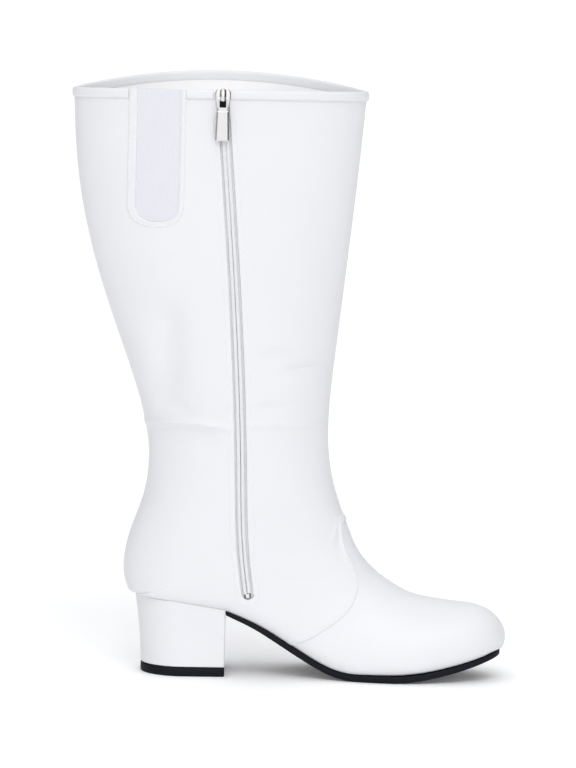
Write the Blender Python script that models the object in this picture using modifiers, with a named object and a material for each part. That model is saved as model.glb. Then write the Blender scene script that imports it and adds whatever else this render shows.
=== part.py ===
"""White knee-high parade boot for the left foot.

It has a block heel, a zip on the inner side of the leg and an elastic panel at the collar.
The toe is at +X, the inner (medial) side at -Y and the floor at z = 0.
The origin is on the floor, under the middle of the heel. Tables and sizes are in millimetres.
"""

import math

import bmesh
import bpy
import numpy as np

MM = 0.001
GAP = 0.3

# Upper: a leather wall, turned under at the sole and lapped at the vamp seam
WALL = 2.0
OPENING_HEEL = -33.8
OPENING_TOE = 208.0
OPENING_SHARE = 0.77
LAP_HEIGHT = 0.9
LAP_RUN = 0.04
COLLAR_RISE = 11.0
TOE_TIP_X = 219.0
TOE_TIP_LOW_X = 217.0
TOE_TIP_Z = 28.0
TOE_TIP_SWING = -5.0
TOE_LEAD = 0.3
TOE_LEAD_Z = 0.1
COLUMNS = 32

# Each section runs from a point on the back or the sole to a point on the front or the instep.
# medial and lateral are its half widths, and belly is how far along it is widest.
# low and top are the powers of its rounding, 2 for an ellipse and more for a squarer curve.
SECTION_COLUMNS = ("back_x", "back_z", "front_x", "front_z", "medial", "lateral", "belly", "low", "top")
SECTIONS = {
    "collar": (-81.3, 393.0, 115.2, 394.5, 41.5, 41.5, 0.50, 2.0, 2.0),
    "calf_upper": (-77.3, 337.0, 110.7, 341.0, 41.5, 41.5, 0.50, 2.0, 2.0),
    "calf": (-63.3, 274.0, 104.6, 278.0, 41.5, 41.5, 0.50, 2.0, 2.0),
    "calf_lower": (-41.3, 211.0, 98.1, 215.0, 40.5, 40.5, 0.50, 2.0, 2.0),
    "leg_small": (-28.8, 170.0, 95.0, 173.0, 38.5, 38.5, 0.50, 2.0, 2.0),
    "ankle": (-26.0, 140.0, 97.0, 143.0, 36.4, 36.8, 0.48, 2.0, 2.0),
    "throat": (-30.2, 116.0, 102.2, 122.0, 35.3, 36.0, 0.455, 2.0, 2.1),
    "heel_upper": (-37.5, 95.0, 106.2, 111.0, 34.6, 35.2, 0.425, 2.0, 2.25),
    "heel_swell": (-41.4, 72.0, 109.2, 103.5, 34.0, 34.5, 0.39, 2.1, 2.4),
    "heel_base": (-38.4, 57.0, 111.6, 97.5, 33.5, 34.0, 0.365, 2.2, 2.5),
    "seat_back": (-30.0, 53.56, 113.5, 92.6, 33.2, 33.8, 0.35, 2.4, 2.55),
    "seat": (0.0, 49.13, 118.0, 84.2, 32.4, 33.6, 0.30, 2.6, 2.65),
    "breast": (28.0, 44.5, 123.6, 77.0, 31.7, 34.3, 0.265, 2.6, 2.6),
    "shank": (52.0, 34.2, 131.5, 69.3, 31.7, 36.2, 0.25, 2.6, 2.45),
    "waist": (76.0, 20.0, 141.3, 62.5, 34.0, 39.4, 0.24, 2.6, 2.3),
    "joint_rear": (97.0, 8.6, 152.0, 56.6, 38.3, 43.0, 0.23, 2.6, 2.15),
    "ball": (118.0, 4.5, 163.0, 53.6, 42.5, 45.0, 0.22, 2.6, 2.1),
    "ball_front": (138.0, 4.5, 174.0, 51.9, 44.0, 44.0, 0.22, 2.6, 2.1),
    "vamp": (158.0, 7.0, 184.0, 50.9, 42.7, 40.5, 0.22, 2.6, 2.15),
    "toe_box": (176.0, 10.0, 193.0, 50.1, 39.0, 35.5, 0.22, 2.6, 2.2),
}
FIRST_ON_SOLE = 10
TOE_BOX = len(SECTIONS) - 1

# Stations along the heel and the sole's edge, from the ankle to the vamp seam, close where the wall opens
QUARTER_STATIONS = (5.8, 6.6, 7.3, 7.9, 8.4, 8.9, 9.2, 9.45, 9.62, 9.75, 9.95, 10.25, 10.7, 11.35, 12.0)
QUARTER_STATIONS += (12.35, 12.7, 13.05, 13.45, 13.9)
LAP_LIFTS = (0.12, 0.35, 0.6, 0.85, 1.0)

# Vamp seam: the section number that it lies on, from the instep's ridge (0) to the sole's edge (1)
SEAM = (
    (0.0, 7.75),
    (0.05, 7.95),
    (0.09, 8.9),
    (0.12, 10.4),
    (0.15, 11.6),
    (0.20, 12.45),
    (0.25, 13.0),
    (0.30, 13.4),
    (0.36, 13.7),
    (0.50, 13.9),
    (0.70, 13.85),
    (1.00, 13.85),
)

# Line where the upper meets the sole, seen from the side: x, z and slope
BOTTOM_LINE = (
    (-33.0, 54.0, -0.1475),
    (24.0, 45.6, -0.1475),
    (34.0, 42.1, -0.39),
    (50.0, 35.2, -0.50),
    (75.0, 20.6, -0.62),
    (96.0, 9.0, -0.44),
    (117.0, 4.5, 0.0),
    (138.0, 4.5, 0.0),
    (215.5, 20.3, 0.31),
)

# Outline of the sole and heel seat from above: x, medial and lateral half widths
PLAN = (
    (-3.0, 28.5, 28.5),
    (28.0, 27.5, 29.5),
    (52.0, 27.0, 31.0),
    (76.0, 28.0, 33.5),
    (97.0, 31.5, 37.5),
    (118.0, 37.0, 41.0),
    (138.0, 40.5, 41.5),
    (158.0, 40.0, 38.5),
    (176.0, 36.5, 33.0),
)
HEEL_END = -33.0
TOE_END = 215.5

# Sole and heel
SOLE_THICKNESS = ((28.0, 2.0), (45.0, 3.0), (62.0, 4.1), (80.0, 4.3), (117.0, 4.2), (138.0, 4.2))
SOLE_THICKNESS += ((176.0, 3.9), (215.5, 3.4))
BALL_REAR = 117.0
BALL_FRONT = 138.0
SOLE_EDGE_ROUND = 1.0
INSOLE_THICKNESS = 2.4
INSOLE_INSET = 2.0
INSOLE_END_ROOM = 6.0
BREAST_X = 28.0
HEEL_FOOT_BACK = -28.3
HEEL_FOOT_WIDTH = 0.93
HEEL_HOLLOW = 0.8
TOP_PIECE_HEIGHT = 6.2

# Collar binding
BINDING_THICKNESS = 0.9
BINDING_LEG = 6.0

# Elastic gusset, its notch and the raised facing round it
NOTCH_X = -24.8
NOTCH_HALF_WIDTH = 14.4
NOTCH_BOTTOM = 307.4
NOTCH_ROUND = 12.5
FACING_BACK = 5.6
FACING_FRONT = 3.8
FACING_BELOW = 3.8
FACING_THICKNESS = 0.6
ELASTIC_DEPTH = 0.6
ELASTIC_THICKNESS = 1.1

# Zip: its centre line as z and x, its slot, tapes, coil, slider and pull tab
ZIP_LINE = ((52.0, 43.0), (85.0, 38.5), (140.0, 35.5), (280.0, 27.0), (396.0, 16.7))
SLOT_BOTTOM = 54.0
SLOT_HALF_WIDTH = 4.2
TAPE_BOTTOM = 50.0
TAPE_TOP = 393.0
TAPE_HALF_WIDTH = 11.0
TAPE_THICKNESS = 0.7
COIL_HALF_WIDTH = 2.6
COIL_DEPTH = 0.4
STOP_HEIGHT = 3.2
STOP_HALF_WIDTH = 2.0
SLIDER_Z = 389.3
SLIDER_WIDTH = 9.6
SLIDER_HEIGHT = 13.4
SLIDER_PLATE = 1.3
SLIDER_LIFT = 0.45
POST_WIDTH = 2.4
POST_HEIGHT = 3.4
BRIDGE_WIDTH = 2.2
BRIDGE_LENGTH = 8.0
BRIDGE_OUT = 5.3
BRIDGE_Z = 391.0
PIVOT_OUT = 3.0
PIVOT_Z = 390.4
TAB_THICKNESS = 1.4
TAB_WIDTH = 8.0
TAB_LENGTH = 20.0
NECK_WIDTH = 5.8
NECK_LENGTH = 8.6
EYE_WIDTH = 3.0
EYE_LENGTH = 5.8

for old in list(bpy.data.objects):
    bpy.data.objects.remove(old, do_unlink=True)


def collection(name, hidden):
    group = bpy.data.collections.new(name)
    group.hide_render = hidden
    bpy.context.scene.collection.children.link(group)
    return group


BOOT = collection("parade_boot", False)
CUTTERS = collection("cutters", True)


def material(name, colour, roughness, metallic=0.0):
    made = bpy.data.materials.new(name)
    made.use_nodes = True
    shader = made.node_tree.nodes["Principled BSDF"]
    shader.inputs["Base Color"].default_value = (*colour, 1.0)
    shader.inputs["Roughness"].default_value = roughness
    shader.inputs["Metallic"].default_value = metallic
    return made


LEATHER = material("white_leather", (0.85, 0.86, 0.88), 0.42)
ELASTIC = material("white_elastic", (0.78, 0.80, 0.85), 0.85)
TAPE = material("zip_tape", (0.70, 0.71, 0.73), 0.8)
COIL = material("zip_coil", (0.74, 0.75, 0.77), 0.5)
CHROME = material("polished_metal", (0.75, 0.75, 0.77), 0.2, 1.0)
BOARD = material("insole_board", (0.72, 0.71, 0.69), 0.8)
RUBBER = material("black_rubber", (0.012, 0.012, 0.014), 0.5)


def spline(points):
    """Natural cubic curve through (x, y) points, as a function of x."""
    xs, ys = np.array(points, float).T
    gap = np.diff(xs)
    rise = np.diff(ys) / gap
    system = np.eye(len(xs))
    right = np.zeros(len(xs))
    for i in range(1, len(xs) - 1):
        system[i, i - 1 : i + 2] = gap[i - 1], 2 * (gap[i - 1] + gap[i]), gap[i]
        right[i] = 6 * (rise[i] - rise[i - 1])
    bend = np.linalg.solve(system, right)

    def value(x):
        i = int(np.clip(np.searchsorted(xs, x) - 1, 0, len(gap) - 1))
        after, before, g = xs[i + 1] - x, x - xs[i], gap[i]
        curved = (bend[i] * after**3 + bend[i + 1] * before**3) / (6 * g)
        straight = (ys[i] / g - bend[i] * g / 6) * after + (ys[i + 1] / g - bend[i + 1] * g / 6) * before
        return curved + straight

    return value


def bottom_z(x):
    """Height of the line where the upper meets the sole."""
    rows = BOTTOM_LINE
    i = 0
    while i < len(rows) - 2 and x > rows[i + 1][0]:
        i += 1
    (x0, z0, slope0), (x1, z1, slope1) = rows[i], rows[i + 1]
    g = x1 - x0
    t = (x - x0) / g
    start = (1 + 2 * t) * (1 - t) ** 2 * z0 + t * (1 - t) ** 2 * g * slope0
    end = t * t * (3 - 2 * t) * z1 - t * t * (1 - t) * g * slope1
    return start + end


plan_medial = spline([(x, medial) for x, medial, _ in PLAN])
plan_lateral = spline([(x, lateral) for x, _, lateral in PLAN])


def plan_sides(x):
    """The y of the sole's medial and lateral edges. The heel and toe end as parts of ellipses."""
    first, last = PLAN[0][0], PLAN[-1][0]
    inside = min(max(x, first), last)
    medial, lateral = -plan_medial(inside), plan_lateral(inside)
    if x < first:
        share = math.sqrt(max(0.0, 1 - ((first - x) / (first - HEEL_END)) ** 2))
        return medial * share, lateral * share
    if x > last:
        ahead = TOE_LEAD + (x - last) / (TOE_END - last) * (1 - TOE_LEAD)
        share = math.sqrt(max(0.0, (1 - ahead**2) / (1 - TOE_LEAD**2)))
        return (
            TOE_TIP_SWING + (medial - TOE_TIP_SWING) * share,
            TOE_TIP_SWING + (lateral - TOE_TIP_SWING) * share,
        )
    return medial, lateral


def opening_sides(x):
    """The y of the edges that the upper leaves open underneath."""
    stretch = (TOE_END - HEEL_END) / (OPENING_TOE - OPENING_HEEL)
    medial, lateral = plan_sides(HEEL_END + (x - OPENING_HEEL) * stretch)
    middle = (medial + lateral) / 2
    half = OPENING_SHARE * (lateral - medial) / 2
    return middle - half, middle + half


section_curves = {
    column: spline([(i, row[k]) for i, row in enumerate(SECTIONS.values())])
    for k, column in enumerate(SECTION_COLUMNS)
}


def toe_turn(s, lead):
    """How far the toe has run forward at station s, and how far it has closed."""
    start = math.asin(lead)
    angle = start + (s - TOE_BOX) * (math.pi / 2 - start)
    return (math.sin(angle) - lead) / (1 - lead), math.cos(angle) / math.cos(start)


def section(s):
    """The section at station s: its row of the table, centre, half width, and the same where it is open."""
    row = {column: curve(min(s, TOE_BOX)) for column, curve in section_curves.items()}
    centre = (row["lateral"] - row["medial"]) / 2
    half = (row["lateral"] + row["medial"]) / 2
    if s > TOE_BOX:
        run, shrink = toe_turn(s, TOE_LEAD)
        run_z, shrink_z = toe_turn(s, TOE_LEAD_Z)
        row["back_x"] += (TOE_TIP_LOW_X - row["back_x"]) * run
        row["front_x"] += (TOE_TIP_X - row["front_x"]) * run_z
        row["front_z"] = TOE_TIP_Z + (row["front_z"] - TOE_TIP_Z) * shrink_z
        centre += (TOE_TIP_SWING - centre) * (1 - shrink)
        half *= shrink
    open_half = 0.0
    open_centre = centre
    if s > FIRST_ON_SOLE - 1:
        floor = bottom_z(row["back_x"])
        row["back_z"] = floor if s >= FIRST_ON_SOLE else max(row["back_z"], floor)
        medial, lateral = opening_sides(row["back_x"])
        open_half = min((lateral - medial) / 2, half)
        open_centre += ((medial + lateral) / 2 - centre) * min(1.0, open_half / 10)
    return row, centre, half, open_centre, open_half


def upper_point(s, turn):
    """Outer surface at station s. turn runs from -1 (back or sole) on the medial side, through
    0 (front or instep), to 1 on the lateral side."""
    row, centre, half, open_centre, open_half = section(s)
    angle = math.pi * (1 - abs(turn))
    along = abs(math.cos(angle))
    across = max(math.sin(angle), 0.0)
    belly = row["belly"]
    if angle < math.pi / 2:
        share = across ** (2 / row["low"])
        width = open_half + (half - open_half) * share
        centre = open_centre + (centre - open_centre) * share
        height = belly * (1 - along ** (2 / row["low"]))
    else:
        width = half * across ** (2 / row["top"])
        height = belly + (1 - belly) * along ** (2 / row["top"])
    x = row["back_x"] + (row["front_x"] - row["back_x"]) * height
    z = row["back_z"] + (row["front_z"] - row["back_z"]) * height
    if turn > 0:
        z += COLLAR_RISE * math.sin(math.pi * turn) ** 2 * max(0.0, 1 - s) ** 2
    return np.array([x, centre + math.copysign(width, turn), z])


def upper_normal(s, turn):
    """Direction out of the wall."""
    ds, dt = 0.02, 0.004
    s0, s1 = max(s - ds, 0.0), min(s + ds, TOE_BOX + 0.98)
    t0, t1 = max(turn - dt, -1.0), min(turn + dt, 1.0)
    middle = min(s, TOE_BOX + 0.98)
    along = upper_point(s1, turn) - upper_point(s0, turn)
    around = upper_point(middle, t1) - upper_point(middle, t0)
    normal = np.cross(along, around)
    return normal / max(np.linalg.norm(normal), 1e-9)


seam_curve = spline([(-turn, s) for turn, s in reversed(SEAM[1:])] + list(SEAM))


def station_rows(turn):
    """(station, raise) of each row along one column: shaft, quarters up to the seam, vamp and toe.
    The raise is the lap of the quarters over the vamp, which runs out above the sole."""
    seam = seam_curve(turn)
    rows = [(0.5 * k, 0.0) for k in range(11)]
    reach = (seam - 5) / (QUARTER_STATIONS[-1] - 5)
    lap = LAP_HEIGHT * min(1.0, 4 * (1 - abs(turn)))
    lifts = (0.0,) * (len(QUARTER_STATIONS) - len(LAP_LIFTS)) + LAP_LIFTS
    rows += [(5 + (s - 5) * reach, lap * lift) for s, lift in zip(QUARTER_STATIONS, lifts)]
    foot = seam + LAP_RUN
    rows += [(foot + (TOE_BOX - foot) * k / 10, 0.0) for k in range(11)]
    rows += [(TOE_BOX + 1 - (1 - k / 7) ** 1.6, 0.0) for k in range(1, 8)]
    return rows


def upper_grid(out):
    """Rows of points on the upper, moved out of the wall by out."""
    columns = []
    for j in range(COLUMNS + 1):
        turn = -1 + 2 * j / COLUMNS
        column = []
        for s, lift in station_rows(turn):
            point = upper_point(s, turn)
            if out + lift:
                point = point + upper_normal(s, turn) * (out + lift)
            column.append(point)
        columns.append(column)
    return [[column[i] for column in columns] for i in range(len(columns[0]))]


def add(name, bm, surface, group=BOOT):
    mesh = bpy.data.meshes.new(name)
    bm.to_mesh(mesh)
    bm.free()
    made = bpy.data.objects.new(name, mesh)
    group.objects.link(made)
    if surface:
        mesh.materials.append(surface)
    else:
        made.hide_render = True
        made.display_type = "WIRE"
    return made


def loft(name, rings, closed, surface, group=BOOT):
    """Skin through rings of points. A closed ring gives a solid with flat ends."""
    bm = bmesh.new()
    grid = [[bm.verts.new([value * MM for value in point]) for point in ring] for ring in rings]
    count = len(rings[0])
    for ring, following in zip(grid, grid[1:]):
        for j in range(count if closed else count - 1):
            k = (j + 1) % count
            bm.faces.new((ring[j], ring[k], following[k], following[j]))
    if closed:
        bm.faces.new(grid[0])
        bm.faces.new(grid[-1])
    bmesh.ops.remove_doubles(bm, verts=bm.verts, dist=1e-6)
    bmesh.ops.recalc_face_normals(bm, faces=bm.faces)
    return add(name, bm, surface, group)


def smooth(made, degrees=35):
    made.data.shade_smooth()
    made.data.set_sharp_from_angle(angle=math.radians(degrees))


def solidify(made, thickness):
    shell = made.modifiers.new("wall", "SOLIDIFY")
    shell.thickness = thickness * MM
    shell.offset = -1.0
    shell.use_even_offset = True


def combine(made, other, operation):
    step = made.modifiers.new(other.name, "BOOLEAN")
    step.operation = operation
    step.object = other


def prism(name, outline, y0, y1):
    """Cutter with an (x, z) outline, from y0 to y1."""
    bm = bmesh.new()
    face = bm.faces.new([bm.verts.new((x * MM, y0 * MM, z * MM)) for x, z in outline])
    extruded = bmesh.ops.extrude_face_region(bm, geom=[face])
    moved = [item for item in extruded["geom"] if isinstance(item, bmesh.types.BMVert)]
    bmesh.ops.translate(bm, verts=moved, vec=(0, (y1 - y0) * MM, 0))
    bmesh.ops.recalc_face_normals(bm, faces=bm.faces)
    return add(name, bm, None, CUTTERS)


def box(name, size, centre, bevel, surface=None):
    """Box with rounded edges. Without a material it is a cutter or a piece to join."""
    bm = bmesh.new()
    bmesh.ops.create_cube(bm, size=1.0)
    for vert in bm.verts:
        vert.co = [(vert.co[k] * size[k] + centre[k]) * MM for k in range(3)]
    made = add(name, bm, surface, BOOT if surface else CUTTERS)
    if bevel:
        edge = made.modifiers.new("edge", "BEVEL")
        edge.width = bevel * MM
        edge.segments = 2
    return made


def u_outline(x0, x1, bottom, rounding):
    """U that opens upward past the collar."""
    middle, half = (x0 + x1) / 2, (x1 - x0) / 2
    outline = [(x0, 420.0)]
    for k in range(13):
        angle = math.pi * k / 12
        across = -math.copysign(abs(math.cos(angle)) ** 0.8, math.cos(angle))
        outline.append((middle + half * across, bottom + rounding * (1 - math.sin(angle) ** 0.8)))
    return outline + [(x1, 420.0)]


zip_x = spline([(z, x) for z, x in ZIP_LINE])


def zip_strip(left, right, bottom, top):
    """Strip beside the zip's centre line, from left to right of it."""
    heights = [bottom + (top - bottom) * k / 14 for k in range(15)]
    up = [(zip_x(z) + right, z) for z in heights]
    return up + [(zip_x(z) + left, z) for z in reversed(heights)]


# Upper
upper = loft("upper", upper_grid(0.0), False, LEATHER)
smooth(upper, 30)
solidify(upper, WALL)

notch = prism(
    "notch",
    u_outline(NOTCH_X - NOTCH_HALF_WIDTH, NOTCH_X + NOTCH_HALF_WIDTH, NOTCH_BOTTOM, NOTCH_ROUND),
    -60.0,
    -10.0,
)
slot_end = [
    (
        zip_x(SLOT_BOTTOM) + SLOT_HALF_WIDTH * math.cos(math.pi * (1 + k / 6)),
        SLOT_BOTTOM + SLOT_HALF_WIDTH * (1 + math.sin(math.pi * (1 + k / 6))),
    )
    for k in range(1, 6)
]
slot_sides = zip_strip(-SLOT_HALF_WIDTH, SLOT_HALF_WIDTH, SLOT_BOTTOM + SLOT_HALF_WIDTH, 420.0)
slot = prism("slot", slot_end + slot_sides, -60.0, -10.0)
combine(upper, notch, "DIFFERENCE")
combine(upper, slot, "DIFFERENCE")


def wall_patch(name, out, thickness, rows, columns, surface):
    """Piece of a layer that lies parallel to the upper's medial wall."""
    grid = upper_grid(out)
    made = loft(name, [row[columns[0] : columns[1]] for row in grid[rows[0] : rows[1]]], False, surface)
    smooth(made, 30)
    solidify(made, thickness)
    return made


SHAFT_TOP = (0, 6)
WHOLE_LEG = (0, 30)
NEAR_NOTCH = (2, 11)
NEAR_ZIP = (2, 14)

# Elastic gusset in its notch, and the facing round the notch
elastic = wall_patch("elastic_gusset", -ELASTIC_DEPTH, ELASTIC_THICKNESS, SHAFT_TOP, NEAR_NOTCH, ELASTIC)
elastic_outline = prism(
    "elastic_outline",
    u_outline(
        NOTCH_X - NOTCH_HALF_WIDTH + GAP,
        NOTCH_X + NOTCH_HALF_WIDTH - GAP,
        NOTCH_BOTTOM + GAP,
        NOTCH_ROUND,
    ),
    -60.0,
    -10.0,
)
combine(elastic, elastic_outline, "INTERSECT")

facing_out = GAP + FACING_THICKNESS
facing = wall_patch("gusset_facing", facing_out, FACING_THICKNESS, SHAFT_TOP, NEAR_NOTCH, LEATHER)
facing_x0 = NOTCH_X - NOTCH_HALF_WIDTH - FACING_BACK
facing_x1 = NOTCH_X + NOTCH_HALF_WIDTH + FACING_FRONT
facing_outline = prism(
    "facing_outline",
    u_outline(facing_x0, facing_x1, NOTCH_BOTTOM - FACING_BELOW, NOTCH_ROUND + FACING_BELOW),
    -60.0,
    -10.0,
)
combine(facing, facing_outline, "INTERSECT")
combine(facing, notch, "DIFFERENCE")

# Collar binding: a folded strip, in one long and one short length
rim_turns = [-1 + 2 * j / COLUMNS for j in range(COLUMNS + 1)]


def rim_frame(turn):
    """Rim point, the direction out of the wall and the direction up along it."""
    point = upper_point(0.0, turn)
    up = point - upper_point(0.5, turn)
    return np.array([point, upper_normal(0.0, turn), up / np.linalg.norm(up)])


rim = [rim_frame(turn) for turn in rim_turns]


def rim_at(x):
    """Rim frame on the medial side at this x."""
    for first, second in zip(rim, rim[1 : COLUMNS // 2 + 1]):
        if first[0][0] <= x <= second[0][0]:
            return first + (second - first) * (x - first[0][0]) / (second[0][0] - first[0][0])


def binding(name, path):
    outer = GAP + BINDING_THICKNESS
    inner = -WALL - GAP - BINDING_THICKNESS
    profile = (
        (outer, -BINDING_LEG),
        (outer, GAP),
        (outer - 0.5, outer),
        (inner + 0.5, outer),
        (inner, GAP),
        (inner, -BINDING_LEG),
        (inner + BINDING_THICKNESS, -BINDING_LEG),
        (inner + BINDING_THICKNESS, GAP),
        (GAP, GAP),
        (GAP, -BINDING_LEG),
    )
    rings = [[point + normal * out + up * rise for out, rise in profile] for point, normal, up in path]
    made = loft(name, rings, True, LEATHER)
    smooth(made, 50)
    return made


zip_top = zip_x(SLIDER_Z + 6)
clear = SLIDER_WIDTH / 2 + 2 * GAP
medial = rim[1 : COLUMNS // 2]
medial_front = [frame for frame in medial if frame[0][0] > zip_top + clear + 2]
medial_back = [frame for frame in medial if frame[0][0] < facing_x0 - GAP - 2]
long_path = [rim_at(zip_top + clear)] + medial_front + rim[COLUMNS // 2 :] + medial_back
long_path += [rim_at(facing_x0 - GAP)]
binding("collar_binding", long_path)
between = [frame for frame in medial if facing_x1 + GAP + 2 < frame[0][0] < zip_top - clear - 2]
binding("collar_binding_tab", [rim_at(facing_x1 + GAP)] + between + [rim_at(zip_top - clear)])

# Zip tapes behind the slot. At the top they pass inside the binding and part round the slider's post.
post_bottom = SLIDER_Z + SLIDER_HEIGHT / 2 - POST_HEIGHT - 0.5
post_side = POST_WIDTH / 2 + GAP
slider_x = zip_x(SLIDER_Z)
post_room = box(
    "post_room",
    (2 * post_side, 20.0, 20.0),
    (slider_x, -40.0, post_bottom - GAP + 10.0),
    0.0,
)
for name, side in (("zip_tape_front", 1), ("zip_tape_back", -1)):
    tape = wall_patch(name, -WALL - GAP, TAPE_THICKNESS, WHOLE_LEG, NEAR_ZIP, TAPE)
    shoulder = SECTIONS["collar"][1] - BINDING_LEG - 2 * GAP
    wide = [TAPE_BOTTOM + (shoulder - TAPE_BOTTOM) * k / 14 for k in range(15)]
    outline = [(zip_x(z) + side * TAPE_HALF_WIDTH, z) for z in wide]
    outline += [(zip_x(z) + side * SLOT_HALF_WIDTH, z) for z in (shoulder, TAPE_TOP)]
    outline += [(zip_x(z) + side * GAP / 2, z) for z in [TAPE_TOP] + wide[::-1]]
    tape_outline = prism(name + "_outline", outline, -60.0, -10.0)
    combine(tape, tape_outline, "INTERSECT")
    combine(tape, post_room, "DIFFERENCE")

# Coil between the tapes, and the stop below it
coil_bottom = SLOT_BOTTOM + STOP_HEIGHT + 3 * GAP
coil = wall_patch("zip_coil", -COIL_DEPTH, WALL - COIL_DEPTH, WHOLE_LEG, NEAR_ZIP, COIL)
coil_outline = prism(
    "coil_outline",
    zip_strip(-COIL_HALF_WIDTH, COIL_HALF_WIDTH, coil_bottom, post_bottom - GAP),
    -60.0,
    -10.0,
)
combine(coil, coil_outline, "INTERSECT")

stop = wall_patch("zip_bottom_stop", -COIL_DEPTH / 2, WALL - COIL_DEPTH / 2, WHOLE_LEG, NEAR_ZIP, CHROME)
stop_bottom = SLOT_BOTTOM + 2 * GAP
stop_outline = prism(
    "stop_outline",
    zip_strip(-STOP_HALF_WIDTH, STOP_HALF_WIDTH, stop_bottom, stop_bottom + STOP_HEIGHT - GAP),
    -60.0,
    -10.0,
)
combine(stop, stop_outline, "INTERSECT")

# Slider: an outer and an inner plate, the post between them and the bridge that holds the tab
wall_y = upper_point(0.1, -0.5)[1]


def out_of_wall(distance):
    return wall_y - distance


plate_out = SLIDER_LIFT + SLIDER_PLATE
inner_top = WALL + TAPE_THICKNESS + 2 * GAP
slider = box(
    "zip_slider",
    (SLIDER_WIDTH, SLIDER_PLATE, SLIDER_HEIGHT),
    (slider_x, out_of_wall(SLIDER_LIFT + SLIDER_PLATE / 2), SLIDER_Z),
    0.5,
    CHROME,
)
inner_plate = box(
    "slider_inner_plate",
    (SLIDER_WIDTH - 0.6, 1.0, SLIDER_HEIGHT),
    (slider_x, out_of_wall(-inner_top - 0.5), SLIDER_Z),
    0.3,
)
post = box(
    "slider_post",
    (POST_WIDTH, inner_top + SLIDER_LIFT + 0.9, POST_HEIGHT),
    (slider_x, out_of_wall((SLIDER_LIFT - inner_top) / 2), post_bottom + POST_HEIGHT / 2),
    0.0,
)
bridge = box(
    "slider_bridge",
    (BRIDGE_WIDTH, BRIDGE_OUT - plate_out + 0.3, BRIDGE_LENGTH),
    (slider_x, out_of_wall((BRIDGE_OUT + plate_out - 0.3) / 2), BRIDGE_Z),
    0.5,
)
bridge_eye = box(
    "slider_bridge_eye",
    (6.0, BRIDGE_OUT - plate_out - 1.2, BRIDGE_LENGTH - 3.0),
    (slider_x, out_of_wall((BRIDGE_OUT + plate_out - 1.0) / 2), BRIDGE_Z),
    0.0,
)
combine(bridge, bridge_eye, "DIFFERENCE")
for piece in (inner_plate, post, bridge):
    combine(slider, piece, "UNION")

# Pull tab: modelled about its cross bar, which lies in the bridge
tab = box(
    "zip_pull_tab",
    (NECK_WIDTH, TAB_THICKNESS, NECK_LENGTH + 0.8),
    (0.0, 0.0, 0.8 - (NECK_LENGTH + 0.8) / 2),
    0.3,
    CHROME,
)
eye = box("tab_eye", (EYE_WIDTH, 4.0, EYE_LENGTH + 4.0), (0.0, 0.0, 4.0 - (EYE_LENGTH + 4.0) / 2), 0.0)
blade = box(
    "tab_blade",
    (TAB_WIDTH, TAB_THICKNESS, TAB_LENGTH),
    (0.0, 0.0, 0.6 - NECK_LENGTH - TAB_LENGTH / 2),
    0.5,
)
bar_mesh = bmesh.new()
bmesh.ops.create_cone(
    bar_mesh,
    cap_ends=True,
    segments=12,
    radius1=TAB_THICKNESS / 2 * MM,
    radius2=TAB_THICKNESS / 2 * MM,
    depth=(EYE_WIDTH + 1.6) * MM,
)
for vert in bar_mesh.verts:
    vert.co = (vert.co.z, vert.co.y, vert.co.x)
bmesh.ops.recalc_face_normals(bar_mesh, faces=bar_mesh.faces)
bar = add("tab_bar", bar_mesh, None, CUTTERS)
combine(tab, eye, "DIFFERENCE")
combine(tab, blade, "UNION")
combine(tab, bar, "UNION")
pivot = (slider_x * MM, out_of_wall(PIVOT_OUT) * MM, PIVOT_Z * MM)
for piece in (tab, eye, blade, bar):
    piece.location = pivot

# Insole: a board on the sole, inside the upper's turned edge
INSOLE_MIDDLE = (OPENING_HEEL + OPENING_TOE) / 2
INSOLE_REACH = (OPENING_TOE - OPENING_HEEL) / 2 - INSOLE_END_ROOM
insole_rings = []
for k in range(35):
    x = INSOLE_MIDDLE + INSOLE_REACH * math.sin(math.radians(-80 + 152 * k / 34))
    medial, lateral = opening_sides(x)
    low = bottom_z(x)
    insole_rings.append(
        [
            (x, medial + INSOLE_INSET, low),
            (x, lateral - INSOLE_INSET, low),
            (x, lateral - INSOLE_INSET, low + INSOLE_THICKNESS),
            (x, medial + INSOLE_INSET, low + INSOLE_THICKNESS),
        ]
    )
insole = loft("insole", insole_rings, True, BOARD)
smooth(insole)

# Outsole: from the heel's breast to the toe, flat on the floor under the ball
sole_thickness = spline(SOLE_THICKNESS)
sole_x = [section(s)[0]["back_x"] for s, _ in station_rows(1.0)]
sole_x = [x for x in sole_x if BREAST_X + 1 < x < TOE_END - 0.1]
sole_rings = []
for x in [BREAST_X + GAP] + sole_x + [TOE_END - 0.15]:
    medial, lateral = plan_sides(x)
    top = bottom_z(x) - GAP
    thickness = top if BALL_REAR <= x <= BALL_FRONT else sole_thickness(x)
    low = max(top - thickness, 0.0)
    shoulder = low + 0.3 * thickness
    edge = min(SOLE_EDGE_ROUND, 0.2 * (lateral - medial))
    sole_rings.append(
        [
            (x, medial, top),
            (x, medial, shoulder),
            (x, medial + edge, low),
            (x, lateral - edge, low),
            (x, lateral, shoulder),
            (x, lateral, top),
        ]
    )
outsole = loft("outsole", sole_rings, True, RUBBER)
smooth(outsole)

# Heel: a covered block under the seat, and its black top piece on the floor
heel_xs = [BREAST_X, 24.0, 15.0, 6.0, PLAN[0][0]]
heel_xs += [PLAN[0][0] - (PLAN[0][0] - HEEL_END) * math.sin(math.radians(15 * k)) for k in range(1, 6)]
seat = [(x, plan_sides(x)[1]) for x in heel_xs] + [(HEEL_END, 0.0)]
seat += [(x, plan_sides(x)[0]) for x in reversed(heel_xs)]
foot_stretch = (BREAST_X - HEEL_FOOT_BACK) / (BREAST_X - HEEL_END)


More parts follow.
